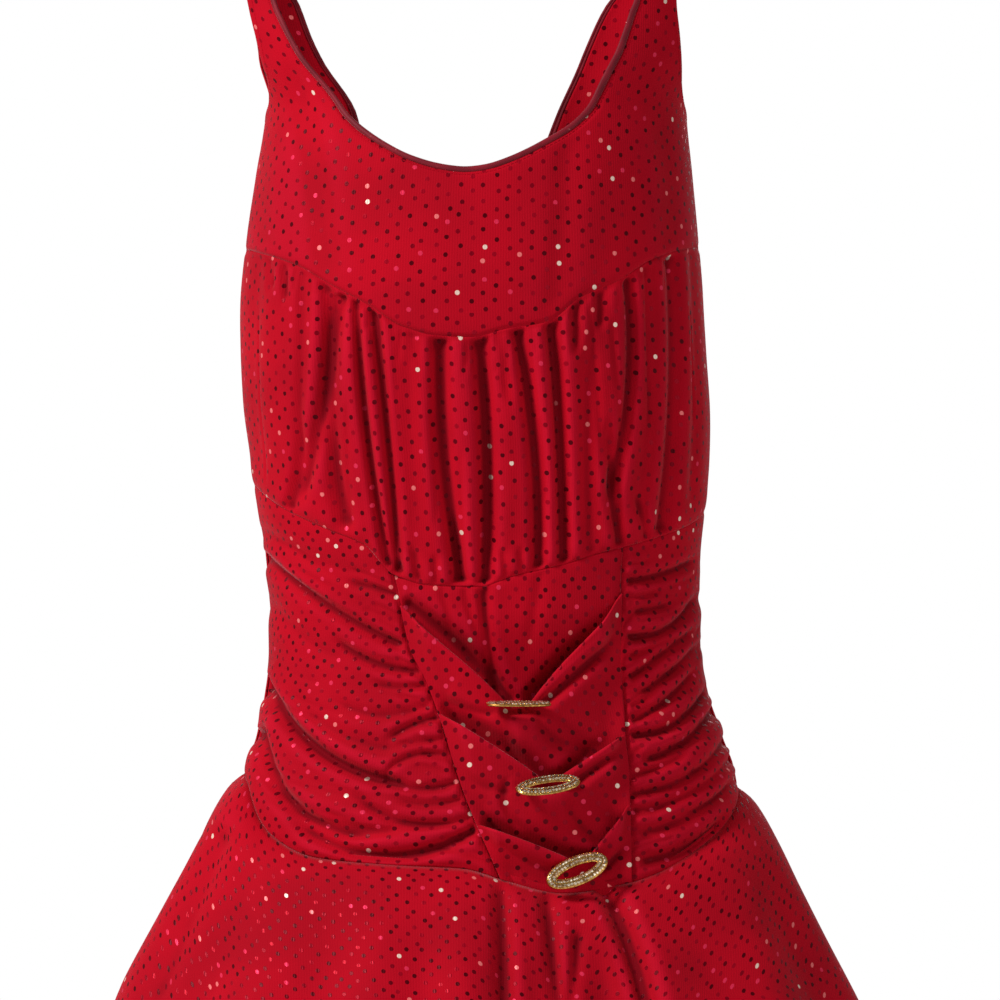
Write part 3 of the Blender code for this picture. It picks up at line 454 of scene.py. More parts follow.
class Reading:
    """A smooth reading between a table's rows that never overshoots them."""

    def __init__(self, keys: Sequence[float], heights: Sequence[float]) -> None:
        """Keeps the rows and works out the slope at each.

        Args:
            keys: Rising key of each row.
            heights: Value of each row.
        """
        self.keys = np.array(keys, float)
        self.heights = np.array(heights, float)
        slopes = np.diff(self.heights) / np.diff(self.keys)
        before = np.concatenate([slopes[:1], slopes])
        after = np.concatenate([slopes, slopes[-1:]])
        product = before * after
        total = np.where(product > 0, before + after, 1.0)
        self.tangents = np.where(product > 0, 2 * product / total, 0.0)

    def __call__(self, value: Array) -> Array:
        """Reads the table.

        Args:
            value: Keys to read at.

        Returns:
            The value at each key.
        """
        value = np.clip(value, self.keys[0], self.keys[-1])
        i = np.clip(np.searchsorted(self.keys, value, side="right") - 1, 0, len(self.keys) - 2)
        span = self.keys[i + 1] - self.keys[i]
        t = (value - self.keys[i]) / span
        return (
            self.heights[i] * (1 + 2 * t) * (1 - t) ** 2
            + self.heights[i + 1] * t * t * (3 - 2 * t)
            + span * self.tangents[i] * t * (1 - t) ** 2
            - span * self.tangents[i + 1] * t * t * (1 - t)
        )

    def at(self, value: float) -> float:
        """The value at one key."""
        return float(self(np.array(value)))


def column(rows: Sequence[NamedTuple], key: str, value: str) -> Reading:
    """A reading of one column of a table by another."""
    return Reading([getattr(row, key) for row in rows], [getattr(row, value) for row in rows])


class Figure:
    """The figure that the garment is filled out to."""

    squareness = 2.3
    step = 1.0

    def __init__(self, sections: Sequence[Section]) -> None:
        """Reads the columns of the sections.

        Args:
            sections: The sections, from the top down.
        """
        self.half_width, self.front, self.back, self.middle = (
            column(sections, "drop", value) for value in Section._fields[1:]
        )

    def point(self, angle: Array, drop: Array) -> Array:
        """Points on the figure.

        Args:
            angle: Their angles.
            drop: Their drops.

        Returns:
            Points, with x, y and z last.
        """
        angle, drop = np.broadcast_arrays(np.asarray(angle, float), np.asarray(drop, float))
        sine, cosine = np.sin(np.radians(angle)), np.cos(np.radians(angle))
        power = self.squareness
        reach = (np.abs(sine) ** power + np.abs(cosine) ** power) ** (-1 / power)
        depth = np.where(cosine > 0, self.front(drop), self.back(drop))
        across = self.middle(drop) + self.half_width(drop) * reach * sine
        return np.stack([across, -depth * reach * cosine, -drop], axis=-1)

    def normal(self, angle: Array, drop: Array) -> Array:
        """Directions straight out of the figure.

        Args:
            angle: Their angles.
            drop: Their drops.

        Returns:
            Unit vectors.
        """
        round_it = self.point(angle + self.step, drop) - self.point(angle - self.step, drop)
        above = np.maximum(np.asarray(drop, float) - self.step, 0)
        down = self.point(angle, drop + self.step) - self.point(angle, above)
        across = np.cross(round_it, -down)
        return across / np.linalg.norm(across, axis=-1, keepdims=True)

    def cloth(self, angle: Array, drop: Array, out: Array) -> Array:
        """Points that stand out from the figure by some millimetres."""
        return self.point(angle, drop) + self.normal(angle, drop) * np.asarray(out)[..., None]


BODY = Figure(FIGURE)
SEAMS = {
    name: column(seam, "angle", "drop")
    for name, seam in (("yoke", YOKE_SEAM), ("empire", EMPIRE_SEAM), ("skirt", SKIRT_SEAM))
}
LEFT_SIDE = column(CENTRE_LEFT_SEAM, "drop", "angle")
RIGHT_SIDE = column(CENTRE_RIGHT_SEAM, "drop", "angle")
SIDE_TOP = SEAMS["empire"].at(SIDE)
SIDE_FOOT = SEAMS["skirt"].at(SIDE)


def trough(
    x: Array, y: Array, start: Spot, end: Spot, bow: float, width: float, crisp: float, shoulder: float,
    fade: Spot,
) -> Array:
    """A trough along a bowed line in a plane.

    Args:
        x: Places across, in millimetres.
        y: Places down.
        start: Where the line starts.
        end: Where it ends.
        bow: How far its middle stands off the chord, towards growing y where it runs along x.
        width: Half width of the trough.
        crisp: Power of its walls' fall: 1 is a sharp valley, 2 is round, more has steep walls.
        shoulder: How much the cloth rises beside it, as a share of its depth.
        fade: Lengths over which it starts and ends.

    Returns:
        1 in the trough, 0 far off and a little under 0 beside it.
    """
    run_x, run_y = end[0] - start[0], end[1] - start[1]
    length = math.hypot(run_x, run_y)
    from_x, from_y = x - start[0], y - start[1]
    along = (from_x * run_x + from_y * run_y) / length**2
    aside = (from_y * run_x - from_x * run_y) / length - bow * 4 * along * (1 - along)
    head = ease(along * length / fade[0] + 0.5)
    tail = ease((1 - along) * length / fade[1] + 0.5)
    away = np.abs(aside / width)
    return head * tail * (np.exp(-(away**crisp)) - shoulder * np.exp(-(away**2) / 4))


@dataclass(frozen=True)
class Creases:
    """A set of folds placed round the figure.

    Attributes:
        folds: The folds.
        crisp: Power of the valleys' fall.
        shoulder: How much the cloth rises beside a trough, as a share of it.
        gain: What their depths are multiplied by.
        widen: What their widths are multiplied by.
    """

    folds: Sequence[Fold | Crease]
    crisp: float = 1.5
    shoulder: float = 0.45
    gain: float = 1.0
    widen: float = 1.0

    def out(self, angle: Array, drop: Array) -> Array:
        """How far out the folds move the cloth at places on the figure, less than 0 in a trough."""
        return self.out_at(angle / DEGREES_PER_MM, drop)

    def out_at(self, x: Array, drop: Array) -> Array:
        """How far out the folds move the cloth.

        Args:
            x: Millimetres across.
            drop: Millimetres down.

        Returns:
            Millimetres out, less than 0 in a trough.
        """
        total = np.zeros(np.broadcast(x, drop).shape)
        for fold in self.folds:
            start, end, bow, fade = fold.line()
            total -= self.gain * fold.depth * trough(
                x, drop, start, end, bow, fold.width * self.widen, self.crisp, self.shoulder, fade
            )
        return total


@dataclass(frozen=True)
class SeenCreases(Creases):
    """A set of troughs placed as the picture shows them."""

    crisp: float = 2.0
    shoulder: float = 0.4

    def out(self, angle: Array, drop: Array) -> Array:
        """How far out the troughs move the cloth at places on the figure."""
        return self.out_at(BODY.point(angle, drop)[..., 0], drop)


def between(folds: Sequence[Fold], seed: int, count: int, depth: float, width: float) -> list[Fold]:
    """Finer folds that run between neighbouring ones.

    Args:
        folds: The main folds, in order.
        seed: Seed of the random draws.
        count: How many lie between each pair.
        depth: Their usual depth.
        width: Their usual width.

    Returns:
        The finer folds.
    """
    draw = random.Random(seed)
    made = []
    for first, second in zip(folds, folds[1:]):
        for _ in range(count):
            t = draw.uniform(0.15, 0.85)
            start, end = draw.uniform(0.0, 0.45), draw.uniform(0.55, 1.0)
            ends = [mix(first[k], second[k], t) for k in range(4)]
            places = [mix(ends[k], ends[k + 2], share) for share in (start, end) for k in (0, 1)]
            bow = mix(first.bow, second.bow, t) * (end - start) ** 2
            made.append(Fold(*places, bow, depth * draw.uniform(0.5, 1.3), width * draw.uniform(0.7, 1.3)))
    return made


def puckers(seam: Reading, start: float, end: float, pitch: float, reach: float, seed: int) -> list[Fold]:
    """Short pleats that run down from a seam where cloth is gathered into it.

    Args:
        seam: The seam's drop at an angle.
        start: First angle.
        end: Last angle.
        pitch: Degrees from one to the next.
        reach: Their usual length.
        seed: Seed of the random draws.

    Returns:
        The pleats.
    """
    draw = random.Random(seed)
    made = []
    while start < end:
        top = seam.at(start)
        length = reach * draw.uniform(0.5, 1.5)
        lean, deep = draw.uniform(-1.2, 1.2), draw.uniform(0.6, 1.5)
        made.append(Fold(start, top - 1, start + lean, top + length, 0, deep, draw.uniform(1.6, 2.8)))
        start += pitch * draw.uniform(0.6, 1.5)
    return made


def side_puckers(seam: Reading, towards: float, start: float, end: float, seed: int) -> list[Fold]:
    """Short pleats that run from a seam down the front, where a side panel is gathered into it.

    Args:
        seam: The seam's angle at a drop.
        towards: Degrees that a pleat runs away from the seam, with its sign.
        start: First drop.
        end: Last drop.
        seed: Seed of the random draws.

    Returns:
        The pleats.
    """
    draw = random.Random(seed)
    made = []
    while start < end:
        angle = seam.at(start)
        run, rise = towards * draw.uniform(0.4, 1.4), draw.uniform(4, 12)
        deep, wide = draw.uniform(0.8, 1.9), draw.uniform(1.8, 3.2)
        made.append(Fold(angle + run, start - rise, angle, start, 0, deep, wide))
        start += SIDE_PUCKER_PITCH * draw.uniform(0.6, 1.5)
    return made


class Wires:
    """Adds and joins the nodes of one material."""

    def __init__(self, name: str) -> None:
        """Starts a material with its usual shader.

        Args:
            name: The material's name.
        """
        self.material = bpy.data.materials.new(name)
        self.material.use_nodes = True
        self.tree = self.material.node_tree

    def put(self, value: object, socket: Socket) -> None:
        """Joins a socket to an input, or sets a plain value on it.

        Args:
            value: The socket or the value.
            socket: The input.
        """
        if isinstance(value, Socket):
            self.tree.links.new(value, socket)
        else:
            socket.default_value = value

    def node(self, kind: str, values: dict, out: int | str = 0, **settings: object) -> Socket:
        """Adds a node and fills it in.

        Args:
            kind: Its type, after ShaderNode.
            values: Sockets or plain values by input.
            out: The output that is used.
            settings: Values of its properties.

        Returns:
            The output's socket.
        """
        node = self.tree.nodes.new("ShaderNode" + kind)
        for key, value in settings.items():
            setattr(node, key, value)
        for key, value in values.items():
            self.put(value, node.inputs[key])
        return node.outputs[out]

    def place(self) -> Socket:
        """The place on the object, in metres."""
        return self.node("TexCoord", {}, "Object")

    def sum(self, operation: str, *values: object) -> Socket:
        """One step of arithmetic."""
        return self.node("Math", dict(enumerate(values)), operation=operation)

    def blend(self, share: object, first: object, second: object) -> Socket:
        """A mix of two colours, with the second's share."""
        return self.node("Mix", {0: share, 6: first, 7: second}, 2, data_type="RGBA")

    def span(
        self, value: object, low: float, high: float, before: float = 0.0, after: float = 1.0
    ) -> Socket:
        """A soft step from one value before low to another after high."""
        steps = dict(enumerate((value, low, high, before, after)))
        return self.node("MapRange", steps, interpolation_type="SMOOTHSTEP")

    def noise(self, vector: object, scale: float, detail: float = 2.0) -> Socket:
        """Cloudy noise, with so many clouds to a metre."""
        return self.node("TexNoise", {"Vector": vector, "Scale": scale, "Detail": detail})

    def bump(self, height: object, distance: float, strength: float, before: object = None) -> Socket:
        """A bump from a height, on top of another normal where there is one."""
        values = {"Strength": strength, "Distance": distance, "Height": height}
        return self.node("Bump", values if before is None else values | {"Normal": before})

    def dress(self, **values: object) -> Finish:
        """Sets the shader's inputs, with _ for a space in their names.

        Args:
            values: Sockets or values by input.

        Returns:
            The material.
        """
        for key, value in values.items():
            self.put(value, self.tree.nodes["Principled BSDF"].inputs[key.replace("_", " ")])
        return self.material


@dataclass(frozen=True)
class KnitFinish:
    """Red stretch knit with round foil dots in a staggered grid, with painted shade in its folds, painted
    light on its ridges and painted glints on some dots.

    Attributes:
        name: Name of the material.
        cloth: Colour of the knit.
        shade: Its darker variation.
        closed: Painted shade, its colour deep in a fold.
        open: Painted light, its colour where it is drawn over a ridge.
        dot: Radius of a dot, in metres.
        across: Pitch of the dots along a row, in metres.
        down: Pitch of the rows, in metres.
        wander: How far a dot may stray, in metres.
        dotted: Whether the foil dots show.
        foil: Colours of the dots, each with the share of dots where it starts; the dark reds are the foil's
            own colour, the pink-red, pink and white ones are painted glints.
    """

    name: str
    cloth: Colour = (0.55, 0.0008, 0.013, 1)
    shade: Colour = (0.43, 0.0008, 0.011, 1)
    # The next two colours are painted shade deep in folds and painted light over ridges.
    closed: Colour = (0.12, 0.0, 0.004, 1)
    open: Colour = (0.62, 0.004, 0.026, 1)
    dot: float = 0.0016
    across: float = 0.0168
    down: float = 0.0052
    wander: float = 0.0030
    dotted: bool = True
    # Dark reds are the foil's own colour; the pink-red, pink and white stops are painted glints.
    foil: tuple[tuple[float, Colour], ...] = (
        (0.0, (0.095, 0.0, 0.004, 1)), (0.20, (0.15, 0.0, 0.006, 1)), (0.44, (0.25, 0.0, 0.009, 1)),
        (0.72, (0.38, 0.001, 0.013, 1)), (0.90, (0.85, 0.03, 0.09, 1)), (0.955, (0.98, 0.2, 0.2, 1)),
        (0.983, (1.0, 0.75, 0.62, 1)),
    )

    def make(self) -> Finish:
        """Builds the material.

        Returns:
            The material.
        """
        wires = Wires(self.name)
        uv = wires.node("UVMap", {}, uv_map="cloth")
        tone = wires.noise(wires.place(), 14.0, 3.0)
        colour = wires.blend(wires.span(tone, 0.3, 0.7), self.cloth, self.shade)
        weave = {"Vector": uv, "Scale": 170.0, "Distortion": 1.5}
        ribs = wires.node("TexWave", weave, "Fac", wave_type="BANDS", bands_direction="X")
        hollow = wires.node("Attribute", {}, "Fac", attribute_name="hollow")
        # Painted light: the knit is lightened towards its ridge colour where the cloth stands above the
        # cloth round it.
        colour = wires.blend(wires.span(hollow, -0.3, -2.4, 0.0, 0.6), colour, self.open)
        fuzz = wires.bump(wires.noise(uv, 900.0), 0.0002, 0.6, wires.bump(ribs, 0.00012, 0.5))
        # Painted shade: the knit is darkened towards its fold colour where the cloth lies deep in a fold.
        painted_shade_share = wires.span(hollow, 0.2, 2.6, 0.0, 0.72)
        look = dict(Roughness=0.8, Normal=fuzz)
        if self.dotted:
            mask, chance = self.dots(wires, uv)
            # The dots' pink-red, pink and white colours are painted glints; the dark reds are the foil's own
            # colour.
            ramp = wires.node("ValToRGB", {0: chance})
            stops = ramp.node.color_ramp.elements
            ramp.node.color_ramp.interpolation = "CONSTANT"
            for spot, hue in self.foil:
                stop = stops[0] if spot == 0.0 else stops.new(spot)
                stop.position, stop.color = spot, hue
            stops.remove(stops[-1])
            colour = wires.blend(mask, colour, ramp)
            look = dict(
                Roughness=wires.span(mask, 0.0, 1.0, 0.8, 0.38),
                Metallic=wires.span(mask, 0.0, 1.0, 0.0, 0.25),
                Normal=wires.bump(mask, 0.00012, 0.8, fuzz),
            )
        return wires.dress(
            Base_Color=wires.blend(painted_shade_share, colour, self.closed), Specular_IOR_Level=0.08,
            Sheen_Weight=0.26, Sheen_Roughness=0.35, Sheen_Tint=(1.0, 0.4, 0.45, 1), **look,
        )

    def dots(self, wires: Wires, uv: Socket) -> tuple[Socket, Socket]:
        """The dots' mask, and a random number for each.

        Args:
            wires: The material's nodes.
            uv: Coordinates in metres of cloth.

        Returns:
            The mask's socket and the number's socket.
        """
        split = wires.node("SeparateXYZ", {0: uv}).node.outputs
        down = wires.sum("DIVIDE", split[1], self.down)
        row = wires.sum("FLOOR", down)
        odd = wires.sum("FLOORED_MODULO", row, 2.0)
        across = wires.sum("MULTIPLY_ADD", odd, 0.5, wires.sum("DIVIDE", split[0], self.across))
        cell = wires.sum("FLOOR", across)
        key = wires.node("CombineXYZ", {0: cell, 1: row})
        draw = wires.node("TexWhiteNoise", {"Vector": key}, "Color", noise_dimensions="2D")
        stray = wires.node("SeparateXYZ", {0: draw}).node.outputs
        squares = []
        for value, whole, pitch, shift in (
            (across, cell, self.across, stray[0]), (down, row, self.down, stray[1])
        ):
            share = wires.sum("SUBTRACT", wires.sum("SUBTRACT", value, whole), 0.5)
            moved = wires.sum("MULTIPLY", wires.sum("SUBTRACT", shift, 0.5), self.wander)
            offset = wires.sum("MULTIPLY_ADD", share, pitch, moved)
            squares.append(wires.sum("MULTIPLY", offset, offset))
        reach = wires.sum("SQRT", wires.sum("ADD", *squares))
        return wires.span(reach, self.dot * 0.86, self.dot * 1.14, 1.0, 0.0), stray[2]


@dataclass(frozen=True)
class BindingFinish:
    """Dark red folded binding with a faint glitter at its edge, its glints painted as pale pink specks in
    its colour.
    """

    name: str = "binding_cloth"

    def make(self) -> Finish:
        """Builds the material.

        Returns:
            The material.
        """
        wires = Wires(self.name)
        place = wires.place()
        tone = wires.span(wires.noise(place, 60.0, 3.0), 0.35, 0.65)
        colour = wires.blend(tone, (0.17, 0.001, 0.01, 1), (0.26, 0.002, 0.014, 1))
        cells = wires.node("TexVoronoi", {"Vector": place, "Scale": 420.0}, "Distance")
        seldom = wires.span(wires.noise(place, 240.0), 0.6, 0.68)
        # Painted glints: sparse pale pink specks in the colour stand for the glitter catching the light.
        painted_glints = wires.sum("MULTIPLY", wires.span(cells, 0.12, 0.2, 1.0, 0.0), seldom)
        return wires.dress(
            Base_Color=wires.blend(painted_glints, colour, (0.95, 0.3, 0.3, 1)), Roughness=0.6,
            Normal=wires.bump(wires.noise(place, 1500.0), 0.0002, 0.6), Specular_IOR_Level=0.3,
            Sheen_Weight=0.25, Sheen_Roughness=0.4, Sheen_Tint=(1.0, 0.5, 0.5, 1),
        )


@dataclass(frozen=True)
class GoldFinish:
    """Polished gold plate, a little worn."""

    name: str = "gold_plate_worn"

    def make(self) -> Finish:
        """Builds the material.

        Returns:
            The material.
        """
        wires = Wires(self.name)
        tone = wires.span(wires.noise(wires.place(), 500.0, 3.0), 0.3, 0.7)
        colour = wires.blend(tone, (0.92, 0.56, 0.15, 1), (0.40, 0.20, 0.05, 1))
        return wires.dress(Base_Color=colour, Metallic=1.0, Roughness=wires.span(tone, 0.0, 1.0, 0.16, 0.34))


@dataclass(frozen=True)
class StoneFinish:
    """Clear cut stones over foil."""

    name: str = "clear_stone"

    def make(self) -> Finish:
        """Builds the material.

        Returns:
            The material.
        """
        wires = Wires(self.name)
        tone = wires.span(wires.noise(wires.place(), 620.0), 0.43, 0.57)
        colour = wires.blend(tone, (1.0, 0.88, 0.66, 1), (0.34, 0.18, 0.06, 1))
        return wires.dress(
            Base_Color=colour, Metallic=0.75, Roughness=0.08, Coat_Weight=1.0, Coat_Roughness=0.03
        )


class Palette:
    """The finishes, each made once."""

    def __init__(self) -> None:
        """Builds the materials."""
        self.bodice = KnitFinish("knit_bodice").make()
        self.ruched = KnitFinish("knit_ruched", across=0.0115, down=0.0060).make()
        self.skirt = KnitFinish("knit_skirt", across=0.0112, down=0.0058, dot=0.0015).make()
        self.binding = BindingFinish().make()
        self.thread = KnitFinish("thread", dotted=False).make()
        self.gold = GoldFinish().make()
        self.stone = StoneFinish().make()


def add_piece(name: str, shape: Shape, finish: Finish, slot: Optional[Slot] = None) -> Piece:
    """Puts a shape in the scene.

    Args:
        name: Name of the piece.
        shape: The shape, which is freed.
        finish: Its material.
        slot: Its material slot, which only decides that it is attached to the garment, or none on the stage.

    Returns:
        The piece.
    """
    mesh = bpy.data.meshes.new(name)
    shape.to_mesh(mesh)
    shape.free()
    mesh.materials.append(finish)
    piece = bpy.data.objects.new(name, mesh)
    bpy.context.scene.collection.objects.link(piece)
    if slot:
        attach(piece, "root")
    log.info("%s: %d faces", name, len(mesh.polygons))
    return piece


@dataclass
class Cloth:
    """One sewn piece of cloth, laid as a fine grid.

    Attributes:
        name: Name of the piece.
        node: Node that it stands for.
        columns: Cells across.
        rows: Cells down.
        cut: Width and length of the flat cut, in metres.
        area: The cut's flat area, in square metres.
        held: How it is held.
        rests_on: What it hangs from.
        slot: Its material slot.
        wall: Its thickness.
    """

    name: str
    node: str
    columns: int
    rows: int
    cut: Spot
    area: float
    held: Held
    rests_on: tuple[str, ...] = ()
    slot: Slot = Slot.KNIT
    wall: float = 0.9

    def points(self, u: Array, v: Array) -> Array:
        """Points of the cloth at shares across and down it."""
        raise NotImplementedError

    def grain(self, u: Array, v: Array, points: Array) -> Array:
        """Coordinates of the cloth itself, in millimetres, measured along its own grid.

        Args:
            u: Shares across, by row and column.
            v: Shares down.
            points: Points by row and column.

        Returns:
            Across and down for each point.
        """
        across, down = np.zeros(points.shape[:2]), np.zeros(points.shape[:2])
        across[:, 1:] = np.cumsum(np.linalg.norm(np.diff(points, axis=1), axis=-1), axis=1)
        across -= across[:, [self.columns // 2]]
        down[1:] = np.cumsum(np.linalg.norm(np.diff(points, axis=0), axis=-1), axis=0)
        return np.stack([across, down], axis=-1)

    def build(self, finish: Finish) -> Piece:
        """Builds and dresses the piece.

        Args:
            finish: Its material.

        Returns:
            The piece.
        """
        shape = bmesh.new()
        bmesh.ops.create_grid(shape, x_segments=self.columns, y_segments=self.rows, size=0.5)
        piece = add_piece(self.name, shape, finish, self.slot)
        mesh = piece.data
        flat = np.empty(len(mesh.vertices) * 3, np.float32)
        mesh.vertices.foreach_get("co", flat)
        flat = flat.reshape(-1, 3)
        i = np.rint((flat[:, 0] + 0.5) * self.columns).astype(int)
        j = np.rint((0.5 - flat[:, 1]) * self.rows).astype(int)
        v, u = np.meshgrid(
            np.linspace(0, 1, self.rows + 1), np.linspace(0, 1, self.columns + 1), indexing="ij"
        )
        points = self.points(u, v)
        mesh.vertices.foreach_set("co", (points[j, i] * MM).astype(np.float32).ravel())
        ends = np.empty(len(mesh.loops), np.int32)
        mesh.loops.foreach_get("vertex_index", ends)
        grain = self.grain(u, v, points)[j, i] * MM
        uv = mesh.uv_layers.new(name="cloth")
        uv.data.foreach_set("uv", grain[ends].astype(np.float32).ravel())
        # The depth below the cloth round each point drives the knit's painted shade in folds and painted
        # light on ridges.
        deep = mesh.attributes.new("hollow", "FLOAT", "POINT")
        deep.data.foreach_set("value", hollows(points)[j, i].astype(np.float32))
        mesh.polygons.foreach_set("use_smooth", [True] * len(mesh.polygons))
        mesh.update()
        wall = piece.modifiers.new("Wall", "SOLIDIFY")
        wall.thickness, wall.offset = self.wall * MM, -1.0
        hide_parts(self.node)
        return piece

    def declare(self, piece: Piece, with_pieces: Sequence[Piece] = ()) -> None:
        """Does nothing; the piece's sheet is not recorded.

        Args:
            piece: The piece; not used.
            with_pieces: What is sewn to it; not used.
        """


def averaged(points: Array, cells: int, axis: int) -> Array:
    """A grid's running average along one axis.

    Args:
        points: Points by row and column.
        cells: Cells to each side that count.
        axis: 0 down, 1 across.

    Returns:
        The averages, by row and column.
    """
    pads = [(0, 0), (0, 0), (0, 0)]
    pads[axis] = (cells + 1, cells)
    total = np.cumsum(np.pad(points, pads, mode="edge"), axis=axis)
    count, window = points.shape[axis], 2 * cells + 1
    first, last = (np.take(total, range(k, k + count), axis=axis) for k in (0, window))
    return (last - first) / window


def hollows(points: Array, reach: float = 7.0) -> Array:
    """How deep each point lies below the cloth round it.

    Args:
        points: Points by row and column, in millimetres.
        reach: How far to each side the cloth is averaged.

    Returns:
        Millimetres below, or above where they are negative.
    """
    smooth = points
    for axis in (0, 1):
        step = np.linalg.norm(np.diff(points, axis=axis), axis=-1).mean()
        for _ in range(2):
            smooth = averaged(smooth, max(1, round(reach / step)), axis)
    normal = np.cross(np.gradient(smooth, axis=1), np.gradient(smooth, axis=0))
    normal /= np.linalg.norm(normal, axis=-1, keepdims=True) + 1e-9
    middle = np.array([points[..., 0].mean() * 0.1, 0.0, 0.0])
    outward = np.sign(((points - middle)[..., :2] * normal[..., :2]).sum(axis=-1))
    return ((smooth - points) * normal).sum(axis=-1) * outward


def unrolled(angle: Array, drop: Array) -> Array:
    """Coordinates of cloth that lies on the figure, in millimetres.

    Args:
        angle: The places' angles.
        drop: Their drops.

    Returns:
        Distance round and drop for each point.
    """
    round_it = (angle + 180.0) % ROUND - 180.0
    fine = np.linspace(-180.0, 180.0, 721)
    steps = np.linalg.norm(np.diff(BODY.point(fine, np.full_like(fine, GRAIN_DROP)), axis=0), axis=-1)
    along = np.concatenate([[0.0], np.cumsum(steps)])
    along -= np.interp(0.0, fine, along)
    whole = along[-1] - along[0]
    return np.stack([np.interp(round_it, fine, along) + whole * (angle >= 180.0), drop], axis=-1)


@dataclass
class Band(Cloth):
    """A piece cut as a band round the neck, between the binding and its outer edge."""

    table: tuple[Row, ...] = YOKE
    seam: str = "yoke"
    seen: SeenCreases = SeenCreases(())
    binding: float = 4.0
    neck_fade: float = 14.0
    edge_fade: float = 12.0

    def rail(self, station: float) -> tuple[float, ...]:
        """The neck's place and the outer edge's at a station.

        Args:
            station: Row number with a share.

        Returns:
            The neck's angle and drop, and the edge's.
        """
        rows = self.table
        i = min(int(station), len(rows) - 2)
        t = station - i
        a, b = rows[i], rows[i + 1]
        first, last = rows[max(i - 1, 0)], rows[min(i + 2, len(rows) - 1)]

        def smooth(name: str, previous: Row, following: Row) -> float:
            """A curve through four rows.

            Args:
                name: The column that it reads.
                previous: The row before.
                following: The row after.

            Returns:
                The column's value at the station.
            """
            p0, p1, p2, p3 = (getattr(row, name) for row in (previous, a, b, following))
            return p1 + 0.5 * t * (
                p2 - p0 + t * (2 * p0 - 5 * p1 + 4 * p2 - p3 + t * (3 * (p1 - p2) + p3 - p0))
            )

        neck = smooth("neck_angle", first, last), smooth("neck_drop", first, last)
        angle = smooth("edge_angle", a if a.corner else first, b if b.corner else last)
        seam = SEAMS[self.seam]
        if a.edge_drop is None and b.edge_drop is None:
            return *neck, angle, seam.at(angle)
        ends = [seam.at(row.edge_angle) if row.edge_drop is None else row.edge_drop for row in (a, b)]
        return *neck, angle, mix(*ends, t)

    def across(self, u: Array) -> tuple[Array, Array]:
        """The band's rails, and the share of each row that the binding takes.

        Args:
            u: Shares along the band, by row and column.

        Returns:
            The neck's angles and drops and the edge's, and the shares.
        """
        rails = np.array([self.rail(float(station)) for station in u[0] * (len(self.table) - 1)]).T
        span = BODY.point(rails[2], rails[3]) - BODY.point(rails[0], rails[1])
        return rails, self.binding / np.linalg.norm(span, axis=-1)

    def share(self, bound: Array, v: Array) -> Array:
        """How far from the neck's edge to the outer edge the piece's own shares lie."""
        return bound + (1 - bound) * v

    def place(self, u: Array, v: Array) -> tuple[Array, Array, Array]:
        """Where the piece lies.

        Args:
            u: Shares along the band.
            v: Shares across it.

        Returns:
            Angles, drops and the band's width there.
        """
        rails, bound = self.across(u)
        share = self.share(bound[None], v)
        angle, drop = (mix(rails[k][None], rails[k + 2][None], share) for k in (0, 1))
        return angle, drop, self.binding / bound[None]

    def points(self, u: Array, v: Array) -> Array:
        """Points of the panel, from the binding to its outer edge.

        Args:
            u: Shares across, by row and column.
            v: Shares down.

        Returns:
            Points in millimetres, with x, y and z last.
        """
        angle, drop, width = self.place(u, v)
        fade = ease(v * width / self.neck_fade) * ease((1 - v) * width / self.edge_fade)
        out = self.seen.out(angle, drop) * fade
        out += seam_dip((1 - v) * width) + 0.5 * seam_dip(v * width)
        return BODY.cloth(angle, drop, out)

    def line(self, first: float, last: float, away: float) -> Array:
        """A line along the band, for its stitches.

        Args:
            first: Row that it starts at.
            last: Row that it ends at.
            away: Millimetres from the binding, or from the outer edge where it is negative.

        Returns:
            The line's points.
        """
        u = np.linspace(first, last, 240)[None] / (len(self.table) - 1)
        share = away / (self.binding / self.across(u)[1] - self.binding)
        return self.points(u, (share if away > 0 else 1 + share)[None])[0]

    def grain(self, u: Array, v: Array, points: Array) -> Array:
        """Coordinates of the cloth, unrolled from the figure."""
        return unrolled(*self.place(u, v)[:2])


@dataclass
class Binding(Band):
    """The narrow binding between the neck's edge and a panel."""

    rise: float = 1.1

    def share(self, bound: Array, v: Array) -> Array:
        """How far from the neck's edge to the outer edge the binding's own shares lie."""
        return bound * v

    def points(self, u: Array, v: Array) -> Array:
        """Points of the binding, rounded over its width."""
        angle, drop, _ = self.place(u, v)
        return BODY.cloth(angle, drop, -0.5 + self.rise * np.sin(np.pi * v) ** 0.6)

    def grain(self, u: Array, v: Array, points: Array) -> Array:
        """Coordinates along its own grid."""
        return Cloth.grain(self, u, v, points)


def blended(left: PlaceAt, right: PlaceAt, top: PlaceAt, bottom: PlaceAt, u: Array, v: Array) -> Place:
    """A blend of four edges.

    Args:
        left: Left edge, from the top down.
        right: Right edge.
        top: Top edge, from left to right.
        bottom: Bottom edge.
        u: Shares across.
        v: Shares down.

    Returns:
        Angles and drops.
    """
    sides = [edge(share) for edge, share in ((left, v), (right, v), (top, u), (bottom, u))]
    corners = [edge(share) for edge in (top, bottom) for share in (np.zeros(1), np.ones(1))]
    found = []
    for k in (0, 1):
        plain = mix(mix(corners[0][k], corners[1][k], u), mix(corners[2][k], corners[3][k], u), v)
        found.append(mix(sides[0][k], sides[1][k], u) + mix(sides[2][k], sides[3][k], v) - plain)
    return found[0], found[1]


def straight(angle: float, start: float, end: float) -> PlaceAt:
    """A straight line down the side."""
    return lambda t: (np.full_like(t, angle), mix(start, end, t))


def round_seam(seam: str, start: float, end: float) -> PlaceAt:
    """A stretch of a seam that runs round the figure."""
    return lambda t: (mix(start, end, t), SEAMS[seam](mix(start, end, t)))


def down_seam(seam: Reading, start: float, end: float) -> PlaceAt:
    """A stretch of a seam that runs down the front."""
    return lambda t: (seam(mix(start, end, t)), mix(start, end, t))


